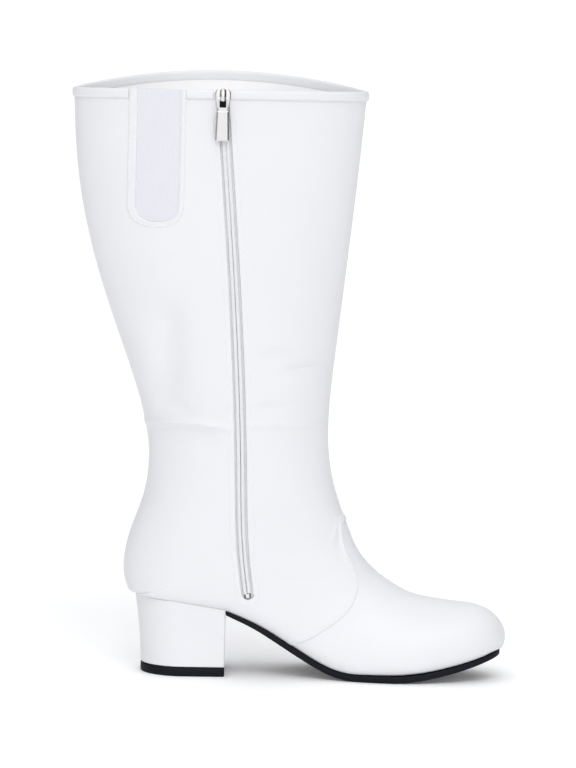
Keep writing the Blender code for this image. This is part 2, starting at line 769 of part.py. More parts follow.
def heel_ring(t):
    """Outline of the heel at share t of its height."""
    ring = []
    for x, y in seat:
        foot = np.array([BREAST_X + (x - BREAST_X) * foot_stretch, y * HEEL_FOOT_WIDTH])
        point = foot + (np.array([x, y]) - foot) * t
        behind = (BREAST_X - x) / (BREAST_X - HEEL_END)
        point += np.array([behind, -math.copysign(0.6, y)]) * HEEL_HOLLOW * math.sin(math.pi * t)
        low = TOP_PIECE_HEIGHT + GAP
        ring.append((point[0], point[1], low + (bottom_z(x) - GAP - low) * t))
    return ring


heel = loft("heel_block", [heel_ring(k / 5) for k in range(6)], True, LEATHER)
smooth(heel, 40)

foot_outline = [(x, y) for x, y, _ in heel_ring(0.0)]
top_piece_rings = [[(x, y, z) for x, y in foot_outline] for z in (0.0, TOP_PIECE_HEIGHT)]
top_piece = loft("heel_top_piece", top_piece_rings, True, RUBBER)
smooth(top_piece, 40)
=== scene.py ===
"""White knee-high parade boot for the left foot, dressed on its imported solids."""

import math

import bmesh
import bpy
import numpy as np
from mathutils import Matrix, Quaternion, Vector
from mathutils.bvhtree import BVHTree


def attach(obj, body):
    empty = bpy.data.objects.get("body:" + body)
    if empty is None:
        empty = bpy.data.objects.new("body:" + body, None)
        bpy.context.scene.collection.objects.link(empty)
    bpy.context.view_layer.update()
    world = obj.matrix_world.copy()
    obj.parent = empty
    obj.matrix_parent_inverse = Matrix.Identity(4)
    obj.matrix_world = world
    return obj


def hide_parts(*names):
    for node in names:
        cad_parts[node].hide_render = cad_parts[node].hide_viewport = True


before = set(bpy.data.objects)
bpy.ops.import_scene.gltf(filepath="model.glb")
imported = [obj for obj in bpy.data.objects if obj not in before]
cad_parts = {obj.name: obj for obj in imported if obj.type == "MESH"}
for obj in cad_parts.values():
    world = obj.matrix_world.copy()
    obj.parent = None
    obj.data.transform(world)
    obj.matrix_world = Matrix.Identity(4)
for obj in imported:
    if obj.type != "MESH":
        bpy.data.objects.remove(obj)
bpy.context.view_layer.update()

# Upper: vamp, quarters and shaft of white coated leather, sewn together and pulled over a last.
# The wall is 2 mm thick with a textile lining, turned under at the sole and open at the collar.
# The quarters lap over the vamp. Sizes are in millimetres, the toe is at +X and the inner side at -Y.
MM = 0.001
WALL = 2.0
LAP = {"height": 0.9, "before": 1.3, "after": 1.4}
COLLAR_RISE = 11.0
MEDIAL_RISE = 1.3
SECTION_COLUMNS = ("back_x", "back_z", "front_x", "front_z", "medial", "lateral", "belly", "low", "top")
SECTIONS = {
    "collar": (-81.3, 393.0, 115.2, 394.5, 41.5, 41.5, 0.50, 2.0, 2.0),
    "calf_upper": (-77.3, 337.0, 110.7, 341.0, 41.5, 41.5, 0.50, 2.0, 2.0),
    "calf": (-63.3, 274.0, 104.6, 278.0, 41.5, 41.5, 0.50, 2.0, 2.0),
    "calf_lower": (-41.3, 211.0, 98.1, 215.0, 40.5, 40.5, 0.50, 2.0, 2.0),
    "leg_small": (-28.8, 170.0, 95.0, 173.0, 38.5, 38.5, 0.50, 2.0, 2.0),
    "ankle": (-26.0, 140.0, 97.0, 143.0, 36.4, 36.8, 0.48, 2.0, 2.0),
    "throat": (-30.2, 116.0, 102.2, 122.0, 35.3, 36.0, 0.455, 2.0, 2.1),
    "heel_upper": (-37.5, 95.0, 106.2, 111.0, 34.6, 35.2, 0.425, 2.0, 2.25),
    "heel_swell": (-41.4, 72.0, 109.2, 103.5, 34.0, 34.5, 0.39, 2.1, 2.4),
    "heel_base": (-38.4, 57.0, 111.6, 97.5, 33.5, 34.0, 0.365, 2.5, 2.5),
    "seat_back": (-30.0, 53.56, 113.5, 92.6, 33.2, 33.8, 0.35, 3.0, 2.55),
    "seat": (0.0, 49.13, 118.0, 84.2, 32.4, 33.6, 0.30, 3.0, 2.65),
    "breast": (28.0, 44.5, 123.6, 77.0, 31.7, 34.3, 0.265, 2.8, 2.6),
    "shank": (52.0, 34.2, 131.5, 69.3, 31.7, 36.2, 0.25, 2.6, 2.45),
    "waist": (76.0, 20.0, 141.3, 62.5, 34.0, 39.4, 0.24, 2.6, 2.3),
    "joint_rear": (97.0, 8.6, 152.0, 56.6, 38.3, 43.0, 0.23, 2.6, 2.15),
    "ball": (118.0, 4.5, 163.0, 53.6, 42.5, 45.0, 0.22, 2.6, 2.1),
    "ball_front": (138.0, 4.5, 174.0, 51.9, 44.0, 44.0, 0.22, 2.6, 2.1),
    "vamp": (158.0, 7.0, 184.0, 50.9, 42.7, 40.5, 0.22, 2.6, 2.15),
    "toe_box": (176.0, 10.0, 193.0, 50.1, 39.0, 35.5, 0.22, 2.6, 2.2),
}
ANKLE = 5
HEEL_BASE = 9
TOE_BOX = len(SECTIONS) - 1
TOE_TIP = {"x": 219.0, "low_x": 217.0, "z": 28.0, "low_z": 20.6, "round": 1.5, "swing": -5.0}
TOE_TIP |= {"lead": 0.3, "lead_z": 0.1}
SEAM = ((0.0, 7.7), (0.05, 7.74), (0.09, 7.92), (0.112, 8.4), (0.124, 9.1), (0.133, 9.8), (0.145, 10.6))
SEAM += ((0.165, 11.5), (0.2, 12.35), (0.25, 13.0))
SEAM += ((0.3, 13.4), (0.36, 13.7), (0.5, 13.9), (0.7, 13.85), (1.0, 13.85))

# The quarters' lap over the vamp: its slope, as shares of the way to the edge and of its height,
# and its rounded edge, as millimetres behind the seam and shares of its height
LAP_RAMP = ((0.80, 0.826, 0.865, 0.904, 0.949, 1.0), (0.0, 0.12, 0.35, 0.6, 0.85, 1.0))
LAP_EDGE = ((0.9, 1.0), (0.45, 0.97), (0.18, 0.8), (0.03, 0.45), (-0.04, 0.05), (-0.2, -0.15), (-0.8, 0.0))

# The sole's line as x, height and slope, and its half widths as x, medial and lateral
BOTTOM_LINE = (
    (-33.0, 54.0, -0.1475),
    (24.0, 45.6, -0.1475),
    (34.0, 42.1, -0.39),
    (50.0, 35.2, -0.50),
    (75.0, 20.6, -0.62),
    (96.0, 9.0, -0.44),
    (117.0, 4.5, 0.0),
    (138.0, 4.5, 0.0),
    (215.5, 20.3, 0.31),
)
PLAN = (
    (-3.0, 28.5, 28.5),
    (28.0, 27.5, 29.5),
    (52.0, 27.0, 31.0),
    (76.0, 28.0, 33.5),
    (97.0, 31.5, 37.5),
    (118.0, 37.0, 41.0),
    (138.0, 40.5, 41.5),
    (158.0, 40.0, 38.5),
    (176.0, 36.5, 33.0),
)
HEEL_END = -33.0
TOE_END = 215.5
OPENING = (-33.8, 208.0, 0.77)

# Creases: side (-1 medial, 1 lateral), start x and z, end x and z, bow, half width and height
CREASES = (
    (-1, -30.0, 170.6, 26.0, 170.6, 2.2, 2.6, 2.2),
    (-1, -17.0, 254.0, -15.0, 186.0, 0.0, 11.5, -3.9),
    (-1, -22.0, 182.5, 0.0, 182.0, 1.0, 4.4, -1.4),
    (-1, -26.0, 160.0, 24.0, 159.0, 1.0, 7.5, -1.3),
    (-1, 38.0, 172.5, 92.0, 171.5, 1.0, 2.2, 1.0),
    (-1, 46.0, 185.0, 68.0, 184.6, 0.0, 3.2, -1.3),
    (-1, 46.0, 220.5, 72.0, 219.7, 0.0, 3.0, -1.6),
    (-1, 64.0, 210.0, 94.0, 213.0, 0.0, 3.2, -1.9),
    (-1, 52.0, 66.0, 112.0, 69.0, 1.0, 3.6, -0.35),
    (-1, 99.0, 91.0, 103.0, 108.0, 0.0, 1.6, 0.45),
    (1, -29.0, 168.0, 42.0, 197.0, -0.5, 3.2, 0.9),
    (1, -24.0, 180.0, 30.0, 205.0, -0.5, 6.0, -0.8),
    (1, -4.0, 162.0, 52.0, 163.0, -0.5, 3.0, 0.7),
    (1, 2.0, 171.0, 44.0, 178.0, -0.5, 4.0, -0.6),
    (1, 34.0, 180.0, 66.0, 174.0, -0.5, 2.6, 0.5),
    (1, -20.0, 152.0, 60.0, 152.0, -0.5, 5.0, -0.5),
    (1, 66.0, 162.0, 96.0, 157.0, -0.5, 2.6, -0.7),
    (1, 88.0, 88.0, 106.0, 103.0, -0.5, 2.2, 0.7),
    (1, 90.0, 97.0, 104.0, 112.0, -0.5, 2.0, -0.6),
)
CREASE_FADE = {"past_end": 0.15, "length": 0.4, "round_leg": 3.0}
SEAM_GROOVE = {"depth": 0.4, "half_width": 0.7, "shaft_end": 8.0, "heel_end": 9.3, "fade": 0.3}


def curve_through(points):
    """Natural cubic curve through (x, y) points, as a function of x."""
    xs, ys = np.array(points, float).T
    gap = np.diff(xs)
    rise = np.diff(ys) / gap
    system = np.eye(len(xs))
    right = np.zeros(len(xs))
    for i in range(1, len(xs) - 1):
        system[i, i - 1 : i + 2] = gap[i - 1], 2 * (gap[i - 1] + gap[i]), gap[i]
        right[i] = 6 * (rise[i] - rise[i - 1])
    bend = np.linalg.solve(system, right)

    def value(x):
        i = np.clip(np.searchsorted(xs, x) - 1, 0, len(gap) - 1)
        after, before, g = xs[i + 1] - x, x - xs[i], gap[i]
        curved = (bend[i] * after**3 + bend[i + 1] * before**3) / (6 * g)
        straight = (ys[i] / g - bend[i] * g / 6) * after + (ys[i + 1] / g - bend[i + 1] * g / 6) * before
        return curved + straight

    return value


def bottom_z(x):
    """Height of the line where the upper meets the sole."""
    xs, zs, slopes = np.array(BOTTOM_LINE).T
    i = np.clip(np.searchsorted(xs, x) - 1, 0, len(xs) - 2)
    g = xs[i + 1] - xs[i]
    t = (x - xs[i]) / g
    start = (1 + 2 * t) * (1 - t) ** 2 * zs[i] + t * (1 - t) ** 2 * g * slopes[i]
    end = t * t * (3 - 2 * t) * zs[i + 1] - t * t * (1 - t) * g * slopes[i + 1]
    return start + end


plan_medial = curve_through([(x, medial) for x, medial, _ in PLAN])
plan_lateral = curve_through([(x, lateral) for x, _, lateral in PLAN])


def plan_sides(x):
    """The y of the sole's medial and lateral edges. The heel and toe end as parts of ellipses."""
    first, last = PLAN[0][0], PLAN[-1][0]
    inside = np.clip(x, first, last)
    behind = np.clip((first - x) / (first - HEEL_END), 0, 1)
    ahead = np.clip((x - last) / (TOE_END - last), 0, 1)
    lead = TOE_TIP["lead"]
    share = np.sqrt(1 - behind**2) * np.sqrt((1 - (lead + ahead * (1 - lead)) ** 2) / (1 - lead**2))
    middle = np.where(x > last, TOE_TIP["swing"], 0.0)
    return middle + (-plan_medial(inside) - middle) * share, middle + (plan_lateral(inside) - middle) * share


def opening_sides(x):
    """The y of the edges that the upper leaves open underneath."""
    heel, toe, share = OPENING
    medial, lateral = plan_sides(HEEL_END + (x - heel) * (TOE_END - HEEL_END) / (toe - heel))
    middle, half = (medial + lateral) / 2, share * (lateral - medial) / 2
    return middle - half, middle + half


section_curves = {
    column: curve_through([(i, row[k]) for i, row in enumerate(SECTIONS.values())])
    for k, column in enumerate(SECTION_COLUMNS)
}


def toe_turn(s, lead):
    """How far the toe has run forward at station s, and how far it has closed."""
    start = math.asin(lead)
    angle = start + np.clip(s - TOE_BOX, 0, 1) * (math.pi / 2 - start)
    return (np.sin(angle) - lead) / (1 - lead), np.maximum(np.cos(angle), 0) / math.cos(start)


def section(s):
    """The section at station s: its row of the table, centre, half width, and the same where it is open."""
    row = {column: curve(np.minimum(s, TOE_BOX)) for column, curve in section_curves.items()}
    centre = (row["lateral"] - row["medial"]) / 2
    half = (row["lateral"] + row["medial"]) / 2
    run, shrink = toe_turn(s, TOE_TIP["lead"])
    run_z, shrink_z = toe_turn(s, TOE_TIP["lead_z"])
    row["back_x"] = row["back_x"] + (TOE_TIP["low_x"] - row["back_x"]) * run
    row["front_x"] = row["front_x"] + (TOE_TIP["x"] - row["front_x"]) * run_z
    row["front_z"] = TOE_TIP["z"] + (row["front_z"] - TOE_TIP["z"]) * shrink_z
    centre = centre + (TOE_TIP["swing"] - centre) * (1 - shrink)
    half = half * shrink
    floor = bottom_z(row["back_x"])
    on_sole = s >= HEEL_BASE + 1
    near_sole = np.where(s > HEEL_BASE, np.maximum(row["back_z"], floor), row["back_z"])
    row["back_z"] = np.where(on_sole, floor, near_sole)
    medial, lateral = opening_sides(row["back_x"])
    open_half = np.where(s > HEEL_BASE, np.minimum((lateral - medial) / 2, half), 0.0)
    open_centre = centre + ((medial + lateral) / 2 - centre) * np.minimum(1.0, open_half / 10)
    return row, centre, half, open_centre, open_half


def upper_points(s, turn):
    """Outer surface. turn runs from -1 (back or sole) on the medial side, through 0 (front or instep),
    to 1 on the lateral side."""
    row, centre, half, open_centre, open_half = section(s)
    angle = math.pi * (1 - np.abs(turn))
    low_part = angle < math.pi / 2
    power = 2 / np.where(low_part, row["low"], row["top"])
    across = np.maximum(np.sin(angle), 0) ** power
    along = np.abs(np.cos(angle)) ** power
    width = np.where(low_part, open_half + (half - open_half) * across, half * across)
    middle = np.where(low_part, open_centre + (centre - open_centre) * across, centre)
    belly = row["belly"]
    height = np.where(low_part, belly * (1 - along), belly + (1 - belly) * along)
    x = row["back_x"] + (row["front_x"] - row["back_x"]) * height
    z = row["back_z"] + (row["front_z"] - row["back_z"]) * height
    under = np.clip((TOE_TIP["z"] - z) / (TOE_TIP["z"] - TOE_TIP["low_z"]), 0, 1) ** TOE_TIP["round"]
    lean = (TOE_TIP["x"] - TOE_TIP["low_x"]) * toe_turn(s, TOE_TIP["lead"])[0]
    x = x + lean * (1 - height - under)
    collar = np.where(turn > 0, COLLAR_RISE, MEDIAL_RISE) * np.sin(math.pi * turn) ** 2
    rise = collar * np.maximum(0, 1 - s) ** 2
    return np.stack([x, middle + np.sign(turn) * width, z + rise], axis=-1)


def grid_normals(grid):
    """Direction out of the wall at each point of a grid of rows and columns."""
    along = np.gradient(grid, axis=0)
    around = np.gradient(grid, axis=1)
    normal = np.cross(along, around)
    normal[-1] = normal[-2] + normal[-2][::-1]
    shut = np.linalg.norm(grid[:, 0] - grid[:, -1], axis=1) < 1e-6
    joined = normal[shut, 0] / np.linalg.norm(normal[shut, 0], axis=1)[:, None]
    joined += normal[shut, -1] / np.linalg.norm(normal[shut, -1], axis=1)[:, None]
    normal[shut, 0] = joined
    normal[shut, -1] = joined
    return normal / np.maximum(np.linalg.norm(normal, axis=2), 1e-9)[..., None]


seam_curve = curve_through([(-turn, s) for turn, s in reversed(SEAM[1:])] + list(SEAM))
near_seam = np.array([0.003, 0.006, 0.01, 0.016])
near_throat = np.linspace(0.1, 0.17, 15)
turns = np.concatenate(
    [np.linspace(-1, 1, 157), -1 + near_seam, 1 - near_seam, near_seam, -near_seam, near_throat, -near_throat]
)
turns = np.unique(np.round(turns, 6))
seam_at = seam_curve(turns)
step = 0.01
seam_step = (upper_points(seam_at + step, turns) - upper_points(seam_at - step, turns)) / (2 * step)
seam_line = np.gradient(upper_points(seam_at, turns), turns, axis=0)
seam_line /= np.linalg.norm(seam_line, axis=1)[:, None]
seam_speed = np.linalg.norm(seam_step - np.sum(seam_step * seam_line, axis=1)[:, None] * seam_line, axis=1)
seam_speed = np.maximum(seam_speed, 0.15 * np.linalg.norm(seam_step, axis=1))

# Rows of the shaft and quarters, then of the lap's rounded edge, the vamp and the toe
lap = LAP["height"] * np.minimum(1.0, 4 * (1 - np.abs(turns)))
rows = [(np.full_like(turns, s), 0 * turns) for s in np.linspace(0, ANKLE, 104)]
for q in np.linspace(0, 1, 64)[1:-1]:
    rows.append((ANKLE + (seam_at - LAP["before"] / seam_speed - ANKLE) * q, lap * np.interp(q, *LAP_RAMP)))
for back_mm, raised in LAP_EDGE:
    rows.append((seam_at - back_mm / seam_speed, lap * raised))
foot = seam_at + LAP["after"] / seam_speed
rows += [(foot + (TOE_BOX - foot) * t, 0 * turns) for t in np.linspace(0, 1, 44)]
rows += [(np.full_like(turns, TOE_BOX + 1 - (1 - k / 18) ** 1.6), 0 * turns) for k in range(1, 19)]
stations = np.array([s for s, _ in rows])
lifts = np.array([lift for _, lift in rows])
turn_grid = np.broadcast_to(turns, stations.shape)
bare = upper_points(stations, turn_grid)
outward = grid_normals(bare)


def crease_lift(points):
    """Soft ridges and troughs of a worn leg, in and out of the wall."""
    x, y, z = np.moveaxis(points, -1, 0)
    lift = np.zeros_like(x)
    for side, x0, z0, x1, z1, bow, half_width, height in CREASES:
        length = math.hypot(x1 - x0, z1 - z0)
        ux, uz = (x1 - x0) / length, (z1 - z0) / length
        along = ((x - x0) * ux + (z - z0) * uz) / length
        off = ((z - z0) * ux - (x - x0) * uz - 4 * bow * (along - along**2)) / half_width
        start = np.clip((along + CREASE_FADE["past_end"]) / CREASE_FADE["length"], 0, 1)
        end = np.clip((1 + CREASE_FADE["past_end"] - along) / CREASE_FADE["length"], 0, 1)
        ends = (start * end) ** 2 * (3 - 2 * start * end)
        lift += height * np.exp(-off * off) * ends / (1 + np.exp(-side * y / CREASE_FADE["round_leg"]))
    return lift


def seam_groove():
    """Narrow grooves of the centre-back and centre-front seams."""
    front = np.linalg.norm(bare - upper_points(stations, 0 * turn_grid), axis=2)
    back = np.linalg.norm(bare - upper_points(stations, 0 * turn_grid + 1), axis=2)
    shaft = np.clip((SEAM_GROOVE["shaft_end"] - stations) / SEAM_GROOVE["fade"], 0, 1)
    heel = np.clip((SEAM_GROOVE["heel_end"] - stations) / SEAM_GROOVE["fade"], 0, 1)
    front, back = (np.exp(-((gap / SEAM_GROOVE["half_width"]) ** 2)) for gap in (front, back))
    return -SEAM_GROOVE["depth"] * (front * shaft + back * heel)


folds = crease_lift(bare)
outer = bare + outward * (lifts + folds + seam_groove())[..., None]
inner = bare + outward * (folds - WALL)[..., None]
row_count, column_count = stations.shape


def quads(flip, start):
    """Faces of the wall's grid of points, whose first point has the number start."""
    for i in range(row_count - 1):
        for j in range(column_count - 1):
            a = start + i * column_count + j
            face = (a, a + 1, a + column_count + 1, a + column_count)
            yield face[::-1] if flip else face


total = row_count * column_count
skin = list(quads(False, 0))
faces = skin + list(quads(True, total))
for j in range(column_count - 1):
    faces.append((j + 1, j, total + j, total + j + 1))
apart = np.linalg.norm(bare[:, 0] - bare[:, -1], axis=1) > 1e-6
for i in range(row_count - 1):
    if apart[i] or apart[i + 1]:
        for j in (0, column_count - 1):
            a, b = i * column_count + j, (i + 1) * column_count + j
            faces.append((a, b, total + b, total + a) if j == 0 else (b, a, total + a, total + b))


def new_object(name, points, faces, weld=2e-6):
    """Mesh object from points in millimetres, with equal points joined."""
    mesh = bpy.data.meshes.new(name)
    mesh.from_pydata([tuple(p) for p in np.asarray(points, float).reshape(-1, 3) * MM], [], faces)
    made = bpy.data.objects.new(name, mesh)
    bpy.context.scene.collection.objects.link(made)
    shape = bmesh.new()
    shape.from_mesh(mesh)
    bmesh.ops.remove_doubles(shape, verts=shape.verts, dist=weld)
    bmesh.ops.dissolve_degenerate(shape, edges=shape.edges, dist=1e-7)
    bmesh.ops.recalc_face_normals(shape, faces=shape.faces)
    shape.to_mesh(mesh)
    shape.free()
    return made


def prism(name, outline, y0, y1):
    """Closed block with an (x, z) outline, from y0 to y1."""
    count = len(outline)
    points = [(x, y, z) for y in (y0, y1) for x, z in outline]
    sides = [(k, (k + 1) % count, count + (k + 1) % count, count + k) for k in range(count)]
    return new_object(name, points, [tuple(range(count)), tuple(range(count, 2 * count))] + sides)


def applied(made, *steps):
    """Applies Boolean steps of (operation, other piece) and removes the other pieces."""
    for operation, other in steps:
        change = made.modifiers.new(other.name, "BOOLEAN")
        change.operation = operation
        change.object = other
    done = bpy.data.meshes.new_from_object(made.evaluated_get(bpy.context.evaluated_depsgraph_get()))
    made.modifiers.clear()
    made.data = done
    for _, other in steps:
        bpy.data.objects.remove(other, do_unlink=True)


ZIP_LINE = ((52.0, 43.0), (85.0, 38.5), (140.0, 35.5), (280.0, 27.0), (396.0, 16.7))
SLOT_BOTTOM = 54.0
SLOT_HALF_WIDTH = 4.2
NOTCH = {"x": -24.8, "half_width": 14.4, "bottom": 307.4, "round": 12.5}
CUT = {"top": 420.0, "depth": (-60.0, -10.0)}
MEDIAL_Y = {"outside": -120.0, "wall": -42.0}
U_POWER = 0.8
zip_x = curve_through(ZIP_LINE)


def u_outline(x0, x1, bottom, rounding, steps=24):
    """U that opens upward above the collar, as (x, z) points."""
    middle, half = (x0 + x1) / 2, (x1 - x0) / 2
    outline = [(x0, CUT["top"])]
    for k in range(steps + 1):
        angle = math.pi * k / steps
        across = -math.copysign(abs(math.cos(angle)) ** U_POWER, math.cos(angle))
        outline.append((middle + half * across, bottom + rounding * (1 - math.sin(angle) ** U_POWER)))
    return outline + [(x1, CUT["top"])]


notch_sides = (NOTCH["x"] - NOTCH["half_width"], NOTCH["x"] + NOTCH["half_width"])
slot_heights = np.linspace(SLOT_BOTTOM + SLOT_HALF_WIDTH, CUT["top"], 60)
slot_outline = []
for k in range(1, 12):
    angle = math.pi * (1 + k / 12)
    x = zip_x(SLOT_BOTTOM) + SLOT_HALF_WIDTH * math.cos(angle)
    slot_outline.append((x, SLOT_BOTTOM + SLOT_HALF_WIDTH * (1 + math.sin(angle))))
slot_outline += [(zip_x(z) + SLOT_HALF_WIDTH, z) for z in slot_heights]
slot_outline += [(zip_x(z) - SLOT_HALF_WIDTH, z) for z in slot_heights[::-1]]

wall_tree = BVHTree.FromPolygons([Vector(p) for p in outer.reshape(-1, 3)], skin)


def wall_at(x, z):
    """Point on the medial wall at this x and z, and the direction out of it."""
    point, normal, _, _ = wall_tree.ray_cast(Vector((x, MEDIAL_Y["outside"], z)), Vector((0.0, 1.0, 0.0)))
    if point is None:
        point, normal, _, _ = wall_tree.find_nearest(Vector((x, MEDIAL_Y["wall"], z)))
    normal = np.array(normal) * (1 if normal.y < 0 else -1)
    return np.array(point), normal


upper = new_object("upper_leather", np.concatenate([outer, inner]), faces)
applied(
    upper,
    ("DIFFERENCE", prism("notch", u_outline(*notch_sides, NOTCH["bottom"], NOTCH["round"]), *CUT["depth"])),
    ("DIFFERENCE", prism("slot", slot_outline, *CUT["depth"])),
)


def feed(tree, socket, value):
    """Links an input of a node, or sets its value."""
    if isinstance(value, bpy.types.NodeSocket):
        tree.links.new(value, socket)
    else:
        socket.default_value = value


def add_node(tree, kind, settings=None, **inputs):
    """Shader node with its settings, and values or links for its inputs."""
    made = tree.nodes.new("ShaderNode" + kind)
    for name, value in (settings or {}).items():
        setattr(made, name, value)
    for name, value in inputs.items():
        feed(tree, made.inputs[name.replace("_", " ")], value)
    return made


def calculated(tree, operation, *values):
    """Output of a Math node."""
    made = add_node(tree, "Math", {"operation": operation})
    for socket, value in zip(made.inputs, values):
        feed(tree, socket, value)
    return made.outputs[0]


def mixed_colour(tree, factor, first, second):
    """Output of a colour mix."""
    made = tree.nodes.new("ShaderNodeMix")
    made.data_type = "RGBA"
    tree.links.new(factor, made.inputs[0])
    made.inputs[6].default_value = (*first, 1.0)
    made.inputs[7].default_value = (*second, 1.0)
    return made.outputs[2]


def ranged(tree, value, low, high):
    """A value from 0 to 1, brought into a range."""
    return add_node(tree, "MapRange", Value=value, To_Min=low, To_Max=high).outputs[0]


def shader_group(name, inputs, outputs):
    """Node group with number inputs and number outputs."""
    group = bpy.data.node_groups.new(name, "ShaderNodeTree")
    for label, value in inputs.items():
        socket = group.interface.new_socket(label, in_out="INPUT", socket_type="NodeSocketFloat")
        socket.default_value = value
    for label in outputs:
        group.interface.new_socket(label, in_out="OUTPUT", socket_type="NodeSocketFloat")
    return group, group.nodes.new("NodeGroupInput"), group.nodes.new("NodeGroupOutput")


# Grain: small cells with soft edges, a finer roughness on them and a slow change of tone
grain, entry, leave = shader_group("coated_grain", {"Cells": 900.0}, ("Height", "Tone", "Gloss"))
place = add_node(grain, "TexCoord").outputs["Object"]
cells = add_node(grain, "TexVoronoi", {"feature": "DISTANCE_TO_EDGE"}, Vector=place, Scale=entry.outputs[0])
fine_scale = calculated(grain, "MULTIPLY", entry.outputs[0], 2.4)
fine = add_node(grain, "TexNoise", Vector=place, Scale=fine_scale, Detail=3.0)
broad = add_node(grain, "TexNoise", Vector=place, Scale=16.0, Detail=2.0)
edge = calculated(grain, "MINIMUM", calculated(grain, "MULTIPLY", cells.outputs["Distance"], 4.0), 1.0)
height = calculated(grain, "ADD", calculated(grain, "MULTIPLY", edge, 0.65), fine.outputs[0])
gloss = calculated(grain, "MULTIPLY", broad.outputs[0], 0.4)
gloss = calculated(grain, "MULTIPLY_ADD", fine.outputs[0], 0.6, gloss)
grain.links.new(height, leave.inputs["Height"])
grain.links.new(broad.outputs[0], leave.inputs["Tone"])
grain.links.new(gloss, leave.inputs["Gloss"])

# Weave: threads over and under each other along two directions
weave, entry, leave = shader_group("weave", {"Threads": 400.0}, ("Height", "Tone"))
place = add_node(weave, "TexCoord").outputs["Object"]
warp = add_node(weave, "TexWave", {"bands_direction": "Z"}, Vector=place, Scale=entry.outputs[0])
weft = add_node(weave, "TexWave", {"bands_direction": "DIAGONAL"}, Vector=place, Scale=entry.outputs[0])
fuzz = add_node(weave, "TexNoise", Vector=place, Scale=1800.0, Detail=2.0)
threads = calculated(weave, "MULTIPLY", warp.outputs["Fac"], weft.outputs["Fac"])
height = calculated(weave, "MULTIPLY_ADD", fuzz.outputs[0], 0.3, threads)
tone = calculated(weave, "MULTIPLY", fuzz.outputs[0], 0.5)
tone = calculated(weave, "MULTIPLY_ADD", threads, 0.5, tone)
weave.links.new(height, leave.inputs["Height"])
weave.links.new(tone, leave.inputs["Tone"])


def finish(name, group, density, colours, roughness, bump, **shader_values):
    """Material whose colour, roughness and relief follow one of the groups."""
    made = bpy.data.materials.new(name)
    made.use_nodes = True
    tree = made.node_tree
    shader = next(n for n in tree.nodes if n.type == "BSDF_PRINCIPLED")
    surface = tree.nodes.new("ShaderNodeGroup")
    surface.node_tree = group
    surface.inputs[0].default_value = density
    tone = surface.outputs["Tone"]
    gloss = surface.outputs["Gloss"] if "Gloss" in surface.outputs else tone
    tree.links.new(mixed_colour(tree, tone, *colours), shader.inputs["Base Color"])
    tree.links.new(ranged(tree, gloss, *roughness), shader.inputs["Roughness"])
    relief = add_node(tree, "Bump", Height=surface.outputs["Height"], Strength=bump[0], Distance=bump[1])
    tree.links.new(relief.outputs[0], shader.inputs["Normal"])
    for label, value in shader_values.items():
        shader.inputs[label.replace("_", " ")].default_value = value
    return made


white_leather = finish(
    "white_coated_leather", grain, 950.0, ((0.745, 0.749, 0.774), (0.78, 0.784, 0.808)), (0.36, 0.52),
    (0.08, 0.0003)
)
lining = finish(
    "white_lining", weave, 420.0, ((0.90, 0.90, 0.905), (0.94, 0.94, 0.945)), (0.75, 0.9), (0.2, 0.0003)
)


def dress(made, surface, slot, *nodes, body="boot", degrees=35):
    """Gives a piece its smooth shading, finish, body and the nodes that it stands for."""
    made.data.shade_smooth()
    made.data.set_sharp_from_angle(angle=math.radians(degrees))
    if surface:
        made.data.materials.clear()
        made.data.materials.append(surface)
    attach(made, body)
    if nodes:
        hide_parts(*nodes)


# Faces deeper in the wall than this are the lining's
LINING_DEPTH = 0.7 * WALL
upper.data.materials.clear()
for surface in (white_leather, lining):
    upper.data.materials.append(surface)
for polygon in upper.data.polygons:
    depth = wall_tree.find_nearest(polygon.center / MM)[3]
    polygon.material_index = 1 if depth > LINING_DEPTH else 0
dress(upper, None, "white_leather", "upper", degrees=32)


# Stitching: white sewing thread, in two rows along the quarters' edge that hold the lap on the vamp.
# Each stitch is a short length of thread, sunk a little into the leather at both ends.
# The zip, the gusset's facing and the binding are sewn with the same stitches.
STITCH = {"pitch": 2.7, "length": 2.0, "radius": 0.27, "arch": 0.7, "sunk": 0.55}
STITCH_SHAPE = ((-0.5, 0.25), (-0.35, 0.8), (0.0, 1.0), (0.35, 0.8), (0.5, 0.25))
SEAM_ROWS = (1.7, 3.5)
SEAM_ROW_END = 0.93
FOOT_MIDDLE = (90.0, 0.0, 45.0)
thread = finish(
    "white_thread", weave, 900.0, ((0.80, 0.81, 0.83), (0.88, 0.88, 0.9)), (0.5, 0.7), (0.2, 0.0001)
)


def strip(rings):
    """Points and faces of a skin through closed rings of points, with flat ends."""
    count = len(rings[0])
    points = [p for ring in rings for p in ring]
    faces = []
    for i in range(len(rings) - 1):
        for j in range(count):
            k = (j + 1) % count
            faces.append((i * count + j, i * count + k, (i + 1) * count + k, (i + 1) * count + j))
    faces += [tuple(range(count)), tuple(range(len(points) - count, len(points)))]
    return points, faces


def round_ring(centre, first, second):
    """Six points round a centre, along two directions."""
    angles = [math.pi * k / 3 for k in range(6)]
    return [centre + math.cos(a) * first + math.sin(a) * second for a in angles]


def add_piece(points, faces, piece_points, piece_faces):
    """Adds one more piece to the points and faces of a row of them."""
    faces += [tuple(len(points) + k for k in face) for face in piece_faces]
    points += piece_points


